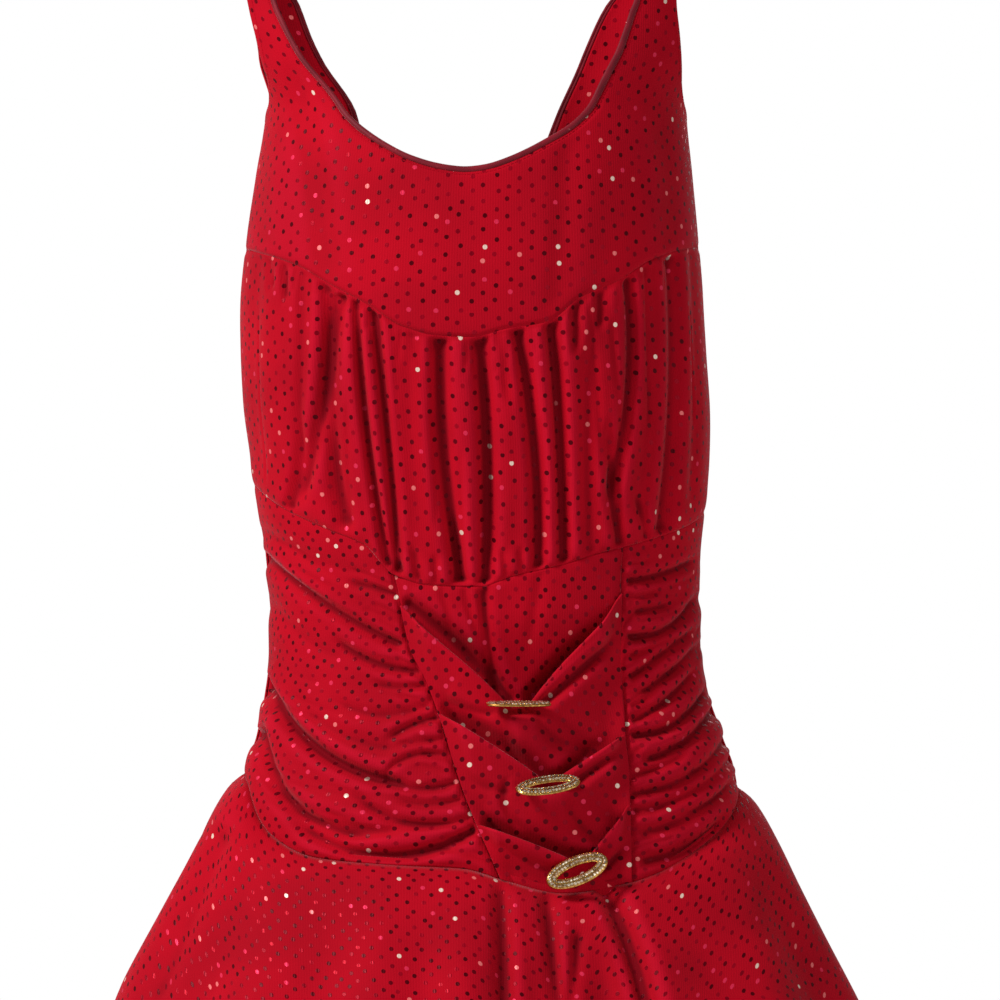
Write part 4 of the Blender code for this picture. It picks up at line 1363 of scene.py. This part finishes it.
@dataclass
class Panel(Cloth):
    """A piece between four seams."""

    left: Optional[PlaceAt] = None
    right: Optional[PlaceAt] = None
    top: Optional[PlaceAt] = None
    bottom: Optional[PlaceAt] = None
    seen: SeenCreases = SeenCreases(())
    creases: tuple[Creases, ...] = ()
    width: float = 300.0
    length: float = 200.0
    ramp: float = 4.0
    dip: float = -0.9
    dip_width: float = 3.0
    blouse: float = 0.0
    blouse_rise: float = 9.0
    blouse_width: float = 8.0
    blouse_fade: float = 30.0
    recess: float = 0.0
    recess_fade: float = 16.0
    recess_from: float = 515.0
    recess_run: float = 60.0
    squeeze: Spot = (1.0, 1.0)

    def place(self, u: Array, v: Array) -> Place:
        """Where the panel lies."""
        return blended(self.left, self.right, self.top, self.bottom, u, v)

    def points(self, u: Array, v: Array) -> Array:
        """Points of the panel, with its folds and the pull of its seams.

        Args:
            u: Shares across, by row and column.
            v: Shares down.

        Returns:
            Points in millimetres, with x, y and z last.
        """
        angle, drop = self.place(u, v)
        aside = np.minimum(u, 1 - u) * self.width
        above = np.minimum(v, 1 - v) * self.length
        out = self.seen.out(angle, drop) + sum(crease.out(angle, drop) for crease in self.creases)
        out = out * ease(aside / self.ramp) * ease(above / self.ramp)
        out = out + self.dip * bell(aside, self.dip_width) + seam_dip(above)
        full = bell((1 - v) * self.length - self.blouse_rise, self.blouse_width)
        out = out + self.blouse * full * ease(aside / self.blouse_fade)
        sunk = ease((drop - self.recess_from) / self.recess_run)
        out = out - self.recess * ease(aside / self.recess_fade) * sunk
        return BODY.cloth(angle, drop, out)

    def grain(self, u: Array, v: Array, points: Array) -> Array:
        """Coordinates of the cloth, unrolled from the figure and gathered by the squeeze."""
        return unrolled(*self.place(u, v)) * np.array(self.squeeze)


@dataclass
class Drape(Cloth):
    """A piece that hangs across the middle, drawn to a tip by its ring."""

    hang: Hang = HANGS[0]
    width: float = 90.0
    lift: float = 4.3
    tip: float = 5.0
    pinch: float = 24.0
    swell_share: float = 0.8
    swell_width: float = 16.0
    swell_rise: float = 8.0
    swell_fade: float = 20.0
    turn: float = 0.07
    turn_radius: float = 1.5
    stand: float = 7.0
    sink: float = 4.0
    sag: float = 0.9
    seen: SeenCreases = SeenCreases(())

    def place(self, u: Array, v: Array) -> tuple[Array, Array, Array]:
        """Where the drape lies.

        Args:
            u: Shares across.
            v: Shares down.

        Returns:
            Angles, drops and shares down what shows of it.
        """
        hang = self.hang
        left_foot = hang.left_foot or CENTRE_LEFT_SEAM[-1].drop
        right_foot = hang.right_foot or CENTRE_RIGHT_SEAM[-1].drop
        head, toe = (
            (LEFT_SIDE.at(left), RIGHT_SIDE.at(right))
            for left, right in ((hang.left_top, hang.right_top), (left_foot, right_foot))
        )

        def top(t: Array) -> Place:
            """The top edge, which dips to the tip.

            Args:
                t: Shares across.

            Returns:
                Angles and drops.
            """
            angle = mix(*head, t)
            away = np.maximum(0.0, np.abs(angle - hang.tip_angle) / DEGREES_PER_MM - self.tip)
            left = angle < hang.tip_angle
            end_drop = np.where(left, hang.left_top, hang.right_top)
            reach = np.abs(np.where(left, *head) - hang.tip_angle) / DEGREES_PER_MM - self.tip
            return angle, mix(hang.tip_drop, end_drop, (away / reach) ** self.sag)

        def bottom(t: Array) -> Place:
            """The foot, tucked under the next drape or on the skirt seam.

            Args:
                t: Shares across.

            Returns:
                Angles and drops.
            """
            angle = mix(*toe, t)
            if hang.left_foot is None:
                return angle, SEAMS["skirt"](angle)
            return angle, mix(left_foot, right_foot, t) + hang.foot_dip * np.sin(np.pi * t)

        shown = np.clip((v - self.turn) / (1 - self.turn), 0, 1)
        left_edge = down_seam(LEFT_SIDE, hang.left_top, left_foot)
        right_edge = down_seam(RIGHT_SIDE, hang.right_top, right_foot)
        return *blended(left_edge, right_edge, top, bottom, u, shown), shown

    def points(self, u: Array, v: Array) -> Array:
        """Points of the drape, with its rolled top edge.

        Args:
            u: Shares across, by row and column.
            v: Shares down.

        Returns:
            Points in millimetres, with x, y and z last.
        """
        hang = self.hang
        angle, drop, shown = self.place(u, v)
        sewn = ease(np.minimum(u, 1 - u) * self.width / 12)
        away = (angle - hang.tip_angle) / DEGREES_PER_MM
        loose = 1 - bell(away, self.pinch)
        out = mix(self.lift, -self.sink, ease(shown / 0.75)) + self.stand * loose * (1 - shown) ** 2
        below = drop - hang.swell_drop
        fade = bell(np.maximum(below - self.swell_rise, 0.0), self.swell_fade)
        swell = hang.swell * self.swell_share
        out = out + swell * bell(away, self.swell_width) * ease(below / self.swell_rise) * fade
        out = out + self.seen.out(angle, drop) * ease(shown / 0.08)
        back = np.pi * np.clip((self.turn - v) / self.turn, 0, 1)
        out = out * sewn + 0.5 + self.turn_radius * (np.cos(back) - 1)
        return BODY.cloth(angle, drop - self.turn_radius * np.sin(back), out)

    def grain(self, u: Array, v: Array, points: Array) -> Array:
        """Coordinates of the cloth, unrolled from the figure."""
        return unrolled(*self.place(u, v)[:2])


@dataclass
class Skirt(Cloth):
    """Half of the flared skirt."""

    start: float = -SIDE
    end: float = SIDE
    seen: SeenCreases = SeenCreases(())

    def points(self, u: Array, v: Array) -> Array:
        """Points of the skirt, with its folds.

        Args:
            u: Shares across, by row and column.
            v: Shares down.

        Returns:
            Points in millimetres, with x, y and z last.
        """
        angle = mix(self.start, self.end, u)
        seam = SEAMS["skirt"](angle)
        below = (HEM_DROP - seam) * v
        level = BODY.normal(angle, seam)
        level[..., 2] = 0
        level /= np.linalg.norm(level, axis=-1, keepdims=True)
        out = column(FLARE, "below", "out")(below)
        for flute in FLUTES:
            middle = mix(flute.seam_angle, flute.hem_angle, v)
            away = (angle - middle + 180) % ROUND - 180
            out = out - flute.depth * ease(v * 1.7 + 0.05) * bell(away, flute.width)
        out = out + seam_dip(below)
        base = BODY.point(angle, seam)
        out = out + self.seen.out_at(base[..., 0] + level[..., 0] * out, seam + below)
        base[..., 2] = -seam - below
        return base + level * out[..., None]


@dataclass
class Brief(Cloth):
    """Half of the brief inside the skirt, with open legs."""

    start: float = -SIDE
    end: float = SIDE
    facing: float = -1.0
    tuck: float = 5.0
    inset: float = 2.6
    side_drop: float = 712.0
    crotch_drop: float = 806.0
    crotch_half_width: float = 34.0
    crotch_gap: float = 1.0
    groin: float = 78.0
    flank: float = 66.0
    fullness: float = 0.94

    def leg_edge(self, u: float) -> Array:
        """The edge round a leg and along the crotch.

        Args:
            u: Share across.

        Returns:
            The point.
        """
        across = 2 * u - 1
        flat = self.crotch_half_width / 170.0
        ends = [BODY.point(angle, self.crotch_drop) for angle in (self.start, self.end)]
        middle = (ends[0] + ends[1]) / 2
        side = BODY.point(self.end if across > 0 else self.start, self.side_drop)
        way = math.copysign(1.0, side[0] - middle[0])
        corner = np.array(
            [middle[0] + way * self.crotch_half_width, self.facing * self.crotch_gap / 2, -self.crotch_drop]
        )
        if abs(across) <= flat:
            return np.array([mix(middle[0], corner[0], abs(across) / flat), corner[1], corner[2]])
        t = (abs(across) - flat) / (1 - flat)
        side[0] -= way * self.inset
        groin = np.array(
            [mix(corner[0], side[0], 0.1), self.facing * self.groin, mix(corner[2], side[2], 0.3)]
        )
        flank = np.array([side[0], self.facing * self.flank, mix(corner[2], side[2], 0.95)])
        near, far = (1 - t) ** 2, t * t
        return corner * near * (1 - t) + groin * 3 * t * near + flank * 3 * far * (1 - t) + side * far * t

    def points(self, u: Array, v: Array) -> Array:
        """Points of the brief.

        Args:
            u: Shares across, by row and column.
            v: Shares down.

        Returns:
            Points in millimetres, with x, y and z last.
        """
        angle = mix(self.start, self.end, u)
        seam = SEAMS["skirt"](angle)
        top = BODY.cloth(angle, seam - self.tuck, np.full_like(angle, -self.inset))
        edge = np.broadcast_to(np.array([self.leg_edge(share) for share in u[0]])[None], top.shape)
        low = BODY.point(angle, mix(seam, self.crotch_drop, 0.8))
        full = np.stack(
            [mix(low[..., 0], edge[..., 0], 0.3), low[..., 1] * self.fullness, edge[..., 2]], axis=-1
        )
        share = v[..., None]
        return top * (1 - share) ** 2 + full * 2 * share * (1 - share) + edge * share**2


@dataclass
class StoneRing:
    """An oval ring of gold plate, set with two rows of clear stones.

    Attributes:
        oval: Where it sits.
        length: Its length over all.
        height: Its height over all.
        band: Width of its band.
        thickness: Its thickness.
        stones: Stones in each row.
        stone: Radius of a stone.
        stone_lean: How far its rows lean from the crown, in radians.
        grain: Radius of a grain of gold.
        grain_lean: How far the outer rows of grains lean.
        steps: Steps round the band.
    """

    oval: Oval
    length: float = 44.0
    height: float = 21.0
    band: float = 7.4
    thickness: float = 3.4
    stones: int = 40
    stone: float = 1.3
    stone_lean: float = 0.5
    grain: float = 0.42
    grain_lean: float = 0.95
    steps: int = 96

    def centre(self, share: float) -> tuple[Vector, Vector]:
        """The band's middle line and its outward direction.

        Args:
            share: Share of the way round, by length.

        Returns:
            The point and the direction.
        """
        half_length, half_height = (self.length - self.band) / 2, (self.height - self.band) / 2
        turn = share * 2 * math.pi
        for _ in range(3):
            turn = share * 2 * math.pi + 0.5 * (half_length - half_height) / (
                half_length + half_height
            ) * math.sin(2 * turn) * 0.55
        cosine, sine = math.cos(turn), math.sin(turn)
        outward = Vector((cosine * half_height, sine * half_length, 0)).normalized()
        return Vector((cosine * half_length, sine * half_height, 0)), outward

    def spot(self, share: float, lean: float, reach: float, rise: float) -> tuple[Vector, Vector]:
        """A place on the band's dome.

        Args:
            share: Share of the way round.
            lean: How far it leans out from the dome's crown, in radians.
            reach: Share of the band's half width that the dome takes.
            rise: Millimetres above the dome.

        Returns:
            The point and the direction that it faces.
        """
        middle, outward = self.centre(share)
        point = middle + outward * (math.sin(lean) * self.band / 2 * reach)
        point.z = math.cos(lean) * self.thickness / 2 + rise
        return point, (outward * math.sin(lean) + Vector((0, 0, math.cos(lean)))).normalized()

    def turned(self) -> Matrix:
        """The ring's place on the garment.

        Returns:
            The matrix, in millimetres.
        """
        place = np.array(self.oval.angle), np.array(self.oval.drop)
        normal = BODY.normal(*place)
        turn = (
            Matrix.Rotation(math.atan2(normal[0], -normal[1]), 4, "Z")
            @ Matrix.Rotation(-math.radians(self.oval.roll), 4, "Y")
            @ Matrix.Rotation(math.radians(90 - self.oval.lean), 4, "X")
        )
        return Matrix.Translation(Vector(BODY.cloth(*place, np.array(self.oval.out)))) @ turn

    def build(self, palette: Palette) -> None:
        """Builds the band and its stones.

        Args:
            palette: The finishes.
        """
        place = Matrix.Scale(MM, 4) @ self.turned()
        band, stones = self.band_shape(), self.stone_shape()
        for shape in (band, stones):
            bmesh.ops.transform(shape, matrix=place, verts=shape.verts)
            bmesh.ops.recalc_face_normals(shape, faces=shape.faces)
        piece = add_piece("ring_band_" + self.oval.name, band, palette.gold, Slot.RING)
        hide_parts("ring_" + self.oval.name)
        add_piece("ring_stones_" + self.oval.name, stones, palette.stone, Slot.RING)

    def band_shape(self) -> Shape:
        """The band: a domed section spun round, then drawn out to an oval, with grains between stones.

        Returns:
            The shape.
        """
        shape = bmesh.new()
        ring = bmesh.ops.create_circle(shape, cap_ends=False, radius=1.0, segments=12)["verts"]
        for vertex in ring:
            lift = vertex.co.y
            vertex.co = Vector((10 + vertex.co.x, 0, lift if lift > 0 else lift * 0.6))
        bmesh.ops.spin(
            shape, geom=shape.verts[:] + shape.edges[:], cent=(0, 0, 0), axis=(0, 0, 1),
            angle=2 * math.pi, steps=self.steps, use_merge=True,
        )
        bmesh.ops.remove_doubles(shape, verts=shape.verts, dist=1e-4)
        for vertex in shape.verts:
            x, y, z = vertex.co
            aside = (math.hypot(x, y) - 10) * self.band / 2
            middle, outward = self.centre(math.atan2(y, x) / (2 * math.pi))
            vertex.co = middle + outward * aside + Vector((0, 0, z * self.thickness / 2))
        for row in (-1, 0, 1):
            for k in range(self.stones):
                point, _ = self.spot((k + 0.5) / self.stones, row * self.grain_lean, 0.98, 0.1)
                place = Matrix.Translation(point)
                bmesh.ops.create_icosphere(shape, subdivisions=1, radius=self.grain, matrix=place)
        for face in shape.faces:
            face.smooth = True
        return shape

    def stone_shape(self) -> Shape:
        """Two rows of cut stones on the band's dome.

        Returns:
            The shape.
        """
        shape = bmesh.new()
        for lean in (-self.stone_lean, self.stone_lean):
            for k in range(self.stones):
                point, face = self.spot(k / self.stones, lean, 1.0, 0.25)
                turn = face.to_track_quat("Z", "Y").to_matrix().to_4x4()
                bmesh.ops.create_cone(
                    shape, cap_ends=True, segments=8, radius1=self.stone, radius2=self.stone * 0.55,
                    depth=0.8, matrix=Matrix.Translation(point) @ turn,
                )
        return shape


@dataclass
class Stitches:
    """A row of short threads along a line of the cloth.

    Attributes:
        name: Name of the piece.
        length: Length of a stitch.
        pitch: From one stitch to the next.
        thread: Thickness of the thread.
    """

    name: str
    length: float = 2.0
    pitch: float = 3.0
    thread: float = 0.42

    def build(self, line: Array, finish: Finish) -> Piece:
        """Builds the stitches.

        Args:
            line: Points that the row follows.
            finish: The thread's material.

        Returns:
            The piece.
        """
        along = np.concatenate([[0], np.cumsum(np.linalg.norm(np.diff(line, axis=0), axis=-1))])
        shape = bmesh.new()
        for start in np.arange(self.pitch / 2, along[-1] - self.length, self.pitch):
            ends = [
                Vector([float(np.interp(spot, along, line[:, k])) for k in range(3)])
                for spot in (start, start + self.length)
            ]
            run = ends[1] - ends[0]
            turn = run.to_track_quat("X", "Z").to_matrix().to_4x4()
            size = Matrix.Diagonal((run.length, self.thread, self.thread, 1))
            place = Matrix.Translation((ends[0] + ends[1]) / 2) @ turn @ size
            bmesh.ops.create_cube(shape, size=1.0, matrix=Matrix.Scale(MM, 4) @ place)
        return add_piece(self.name, shape, finish, Slot.BINDING)


@dataclass
class Bodice:
    """The yoke, the gathered bust, the back and the neck's binding.

    Attributes:
        strips: Length and area of the binding's two strips, in metres.
        inside: How far inside the armholes their stitches run.
    """

    strips: tuple[Spot, Spot] = ((0.60, 0.0034), (0.75, 0.0043))
    inside: float = 5.0

    def build(self, palette: Palette) -> None:
        """Builds the bodice.

        Args:
            palette: The finishes.
        """
        sides = (
            ("front", YOKE, "yoke", SEEN_YOKE, "front_yoke", (0.32, 0.33), 0.060, 5, 30),
            ("back", BACK, "empire", (), "back_panel", (0.47, 0.46), 0.107, 4, 60),
        )
        for (side, table, seam, seen, node, cut, area, finer, cells), (length, strip) in zip(
            sides, self.strips
        ):
            last = len(table) - 1
            band = Band(
                node + "_cloth", node, last * finer, cells, cut, area, Held.HUNG, table=table, seam=seam,
                seen=SeenCreases(seen),
            )
            piece = band.build(palette.bodice)
            binding = Binding(
                f"neck_binding_{side}_cloth", "neck_binding_" + side, last * finer, 6, (0.01, length),
                strip, Held.STRETCHED, (node + "_cloth",), Slot.BINDING, 1.6, table=table, seam=seam,
            )
            binding.declare(binding.build(palette.binding))
            corners = [k for k, row in enumerate(table) if row.corner]
            runs = (
                ("neck", 0, last, 1.5), ("left", 0, corners[0], -self.inside),
                ("right", corners[-1], last, -self.inside),
            )
            band.declare(piece, [
                Stitches(f"stitches_{side}_{where}").build(band.line(start, end, away), palette.thread)
                for where, start, end, away in runs
            ])
        bust = Panel(
            "front_bust_cloth", "front_bust", 390, 112, (0.46, 0.24), 0.085, Held.GATHERED,
            ("front_yoke_cloth",),
            left=straight(-SIDE, YOKE_SEAM[0].drop, EMPIRE_SEAM[0].drop),
            right=straight(SIDE, YOKE_SEAM[-1].drop, SIDE_TOP),
            top=round_seam("yoke", -SIDE, SIDE), bottom=round_seam("empire", -SIDE, SIDE),
            seen=SeenCreases(SEEN_BUST, 1.9, 0.3, 1.15, 1.3),
            creases=(
                Creases(between(GATHERS, 11, 1, 1.4, 3.0)),
                Creases(puckers(SEAMS["yoke"], -56, 60, 2.6, 20, 12), 1.6, 0.5),
            ),
            width=430, length=160, blouse=0.9, squeeze=(1.1, 1.0),
        )
        bust.declare(bust.build(palette.bodice))


class Midriff:
    """The ruched sides, the middle panel and its drapes."""

    def build(self, palette: Palette) -> None:
        """Builds the midriff.

        Args:
            palette: The finishes.
        """
        top, foot = CENTRE_LEFT_SEAM[0], CENTRE_LEFT_SEAM[-1]
        head, toe = CENTRE_RIGHT_SEAM[0], CENTRE_RIGHT_SEAM[-1]
        left_seam = down_seam(LEFT_SIDE, top.drop, foot.drop)
        right_seam = down_seam(RIGHT_SIDE, head.drop, toe.drop)
        left_fine = Creases(between(LEFT_RUCHING, 21, 2, 1.2, 3.0))
        right_fine = Creases(between(RIGHT_RUCHING, 22, 2, 1.1, 2.8))
        panels = (
            Panel(
                "side_left_cloth", "side_panel_left", 170, 170, (0.20, 0.30), 0.044, Held.GATHERED,
                ("front_bust_cloth",),
                left=straight(-SIDE, EMPIRE_SEAM[0].drop, SKIRT_SEAM[0].drop), right=left_seam,
                top=round_seam("empire", -SIDE, top.angle), bottom=round_seam("skirt", -SIDE, foot.angle),
                seen=SeenCreases(SEEN_LEFT, 1.7, 0.4, 1.3, 1.3),
                creases=(left_fine, Creases(side_puckers(LEFT_SIDE, -9, 500, 690, 23), 1.6, 0.5)),
                width=210, length=190, dip=-2.2, squeeze=(1.0, 1.12),
            ),
            Panel(
                "side_right_cloth", "side_panel_right", 110, 180, (0.14, 0.30), 0.029, Held.GATHERED,
                ("front_bust_cloth",), left=right_seam, right=straight(SIDE, SIDE_TOP, SIDE_FOOT),
                top=round_seam("empire", head.angle, SIDE), bottom=round_seam("skirt", toe.angle, SIDE),
                seen=SeenCreases(SEEN_RIGHT, 1.7, 0.4, 1.3, 1.3),
                creases=(right_fine, Creases(side_puckers(RIGHT_SIDE, 8, 482, 694, 24), 1.6, 0.5)),
                width=150, length=200, dip=-2.2, squeeze=(1.0, 1.12),
            ),
            Panel(
                "centre_cloth", "front_centre", 90, 120, (0.16, 0.22), 0.027, Held.STRETCHED,
                ("front_bust_cloth",), left=left_seam, right=right_seam,
                top=round_seam("empire", top.angle, head.angle),
                bottom=round_seam("skirt", foot.angle, toe.angle),
                seen=SeenCreases(SEEN_CENTRE, 1.8), width=120, length=210, dip=-2.2, recess=14.0,
            ),
            Panel(
                "back_midriff_cloth", "back_midriff", 170, 100, (0.43, 0.26), 0.089, Held.HUNG,
                ("back_panel_cloth",), left=straight(SIDE, SIDE_TOP, SIDE_FOOT),
                right=straight(ROUND - SIDE, EMPIRE_SEAM[-1].drop, SKIRT_SEAM[-1].drop),
                top=round_seam("empire", SIDE, ROUND - SIDE), bottom=round_seam("skirt", SIDE, ROUND - SIDE),
                creases=(
                    Creases(BACK_CREASES, 1.6, 0.45, 1.3), Creases(between(BACK_CREASES, 31, 1, 1.4, 4.0))
                ),
                width=330, length=210,
            ),
        )
        for panel in panels:
            panel.declare(panel.build(palette.ruched))
        sizes = ((0.17, 0.13), 0.0125), ((0.14, 0.11), 0.0088), ((0.11, 0.055), 0.0038)
        for hang, (cut, area) in zip(HANGS, sizes):
            drape = Drape(
                f"drape_{hang.name}_cloth", "drape_" + hang.name, 110, 60, cut, area, Held.DRAPED,
                ("centre_cloth",), hang=hang, seen=SeenCreases(SEEN_DRAPES[hang.name], 1.8),
            )
            drape.declare(drape.build(palette.ruched))
        for oval in OVALS:
            StoneRing(oval).build(palette)


class Lower:
    """The skirt and the brief."""

    def build(self, palette: Palette) -> None:
        """Builds the skirt and the brief.

        Args:
            palette: The finishes.
        """
        halves = ("front", -SIDE, SIDE, -1.0, SEEN_SKIRT), ("back", SIDE, ROUND - SIDE, 1.0, ())
        for name, start, end, _, seen in halves:
            skirt = Skirt(
                f"skirt_{name}_cloth", "skirt_" + name, 300, 70, (0.95, 0.28), 0.155, Held.HUNG,
                ("side_left_cloth",), start=start, end=end, seen=SeenCreases(seen, 1.8, 0.35, 1.7, 1.35),
            )
            piece = skirt.build(palette.skirt)
            hem = skirt.points(np.linspace(0, 1, 600)[None], np.full((1, 600), 0.965))[0]
            skirt.declare(piece, [Stitches(f"stitches_hem_{name}").build(hem, palette.thread)])
        for name, start, end, facing, _ in halves:
            brief = Brief(
                f"brief_{name}_cloth", "brief_" + name, 120, 50, (0.36, 0.19), 0.049, Held.STRETCHED,
                (f"skirt_{name}_cloth",), start=start, end=end, facing=facing,
            )
            brief.declare(brief.build(palette.bodice))


@dataclass
class Studio:
    """A plain pale floor and backdrop, soft light and the camera.

    Attributes:
        aim: What the camera looks at, in metres.
        distance: How far off it stands.
        span: Width of the picture at the garment.
        floor: Height of the floor.
        sensor: Width of the camera's sensor, in millimetres.
        ambient: Strength of the room's light.
        backdrop: Brightness of the backdrop.
        lamps: Each lamp's name, place, side and watts.
    """

    aim: tuple[float, float, float] = (0.0272, 0.0, -0.442)
    distance: float = 6.0
    span: float = 0.68
    floor: float = -1.6
    sensor: float = 36.0
    ambient: float = 0.24
    backdrop: float = 1.0
    lamps: tuple[tuple[str, tuple[float, float, float], float, float], ...] = (
        ("key", (-2.3, -1.5, 2.0), 0.8, 96), ("fill", (2.3, -2.4, 0.1), 2.0, 13),
        ("back", (0.3, 2.6, 1.2), 2.0, 25),
    )

    def build(self) -> None:
        """Builds the studio."""
        scene = bpy.context.scene
        self.build_floor()
        for name, place, size, power in self.lamps:
            lamp = bpy.data.lights.new(name, "AREA")
            lamp.shape, lamp.size, lamp.energy = "SQUARE", size, power
            made = bpy.data.objects.new(name, lamp)
            made.location = Vector(place) + Vector(self.aim)
            made.rotation_euler = (-Vector(place)).to_track_quat("-Z", "Y").to_euler()
            scene.collection.objects.link(made)
        self.build_world()
        scene.view_settings.view_transform = "Standard"
        lens = bpy.data.cameras.new("camera")
        lens.sensor_width = self.sensor
        lens.lens = self.sensor * self.distance / self.span
        camera = bpy.data.objects.new("camera", lens)
        camera.location = Vector(self.aim) + Vector((0, -self.distance, 0))
        camera.rotation_euler = (math.radians(90), 0, 0)
        scene.collection.objects.link(camera)
        bpy.context.scene.camera = camera

    def build_world(self) -> None:
        """Fills the room with dim light, in front of a white backdrop."""
        world = bpy.data.worlds.new("studio")
        bpy.context.scene.world = world
        world.use_nodes = True
        tree = world.node_tree
        sky = tree.nodes["Background"]
        sky.inputs["Color"].default_value = (1.0, 1.0, 1.0, 1.0)
        seen = tree.nodes.new("ShaderNodeLightPath").outputs["Is Camera Ray"]
        strength = tree.nodes.new("ShaderNodeMapRange")
        tree.links.new(seen, strength.inputs[0])
        strength.inputs["To Min"].default_value = self.ambient
        strength.inputs["To Max"].default_value = self.backdrop
        tree.links.new(strength.outputs[0], sky.inputs["Strength"])

    def build_floor(self) -> None:
        """Lays the floor."""
        shape = bmesh.new()
        bmesh.ops.create_grid(shape, x_segments=1, y_segments=1, size=9)
        bmesh.ops.translate(shape, vec=(0, 0, self.floor), verts=shape.verts)
        wires = Wires("pale_floor")
        colour = wires.blend(wires.noise(wires.place(), 2.0), (0.93, 0.93, 0.93, 1), (0.95, 0.95, 0.95, 1))
        add_piece("floor", shape, wires.dress(Base_Color=colour, Roughness=0.8))


def plain(bounds: Sequence[Sequence[float]]) -> list[list[float]]:
    """Bounds as plain lists of numbers."""
    return [[float(value) for value in corner] for corner in bounds]


def main() -> None:
    """Dresses the garment and sets the stage."""
    logging.basicConfig(level=logging.INFO)
    for leftover in list(bpy.data.objects):
        bpy.data.objects.remove(leftover)
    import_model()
    palette = Palette()
    Bodice().build(palette)
    Midriff().build(palette)
    Lower().build(palette)
    Studio().build()


if __name__ == "__main__":
    main()
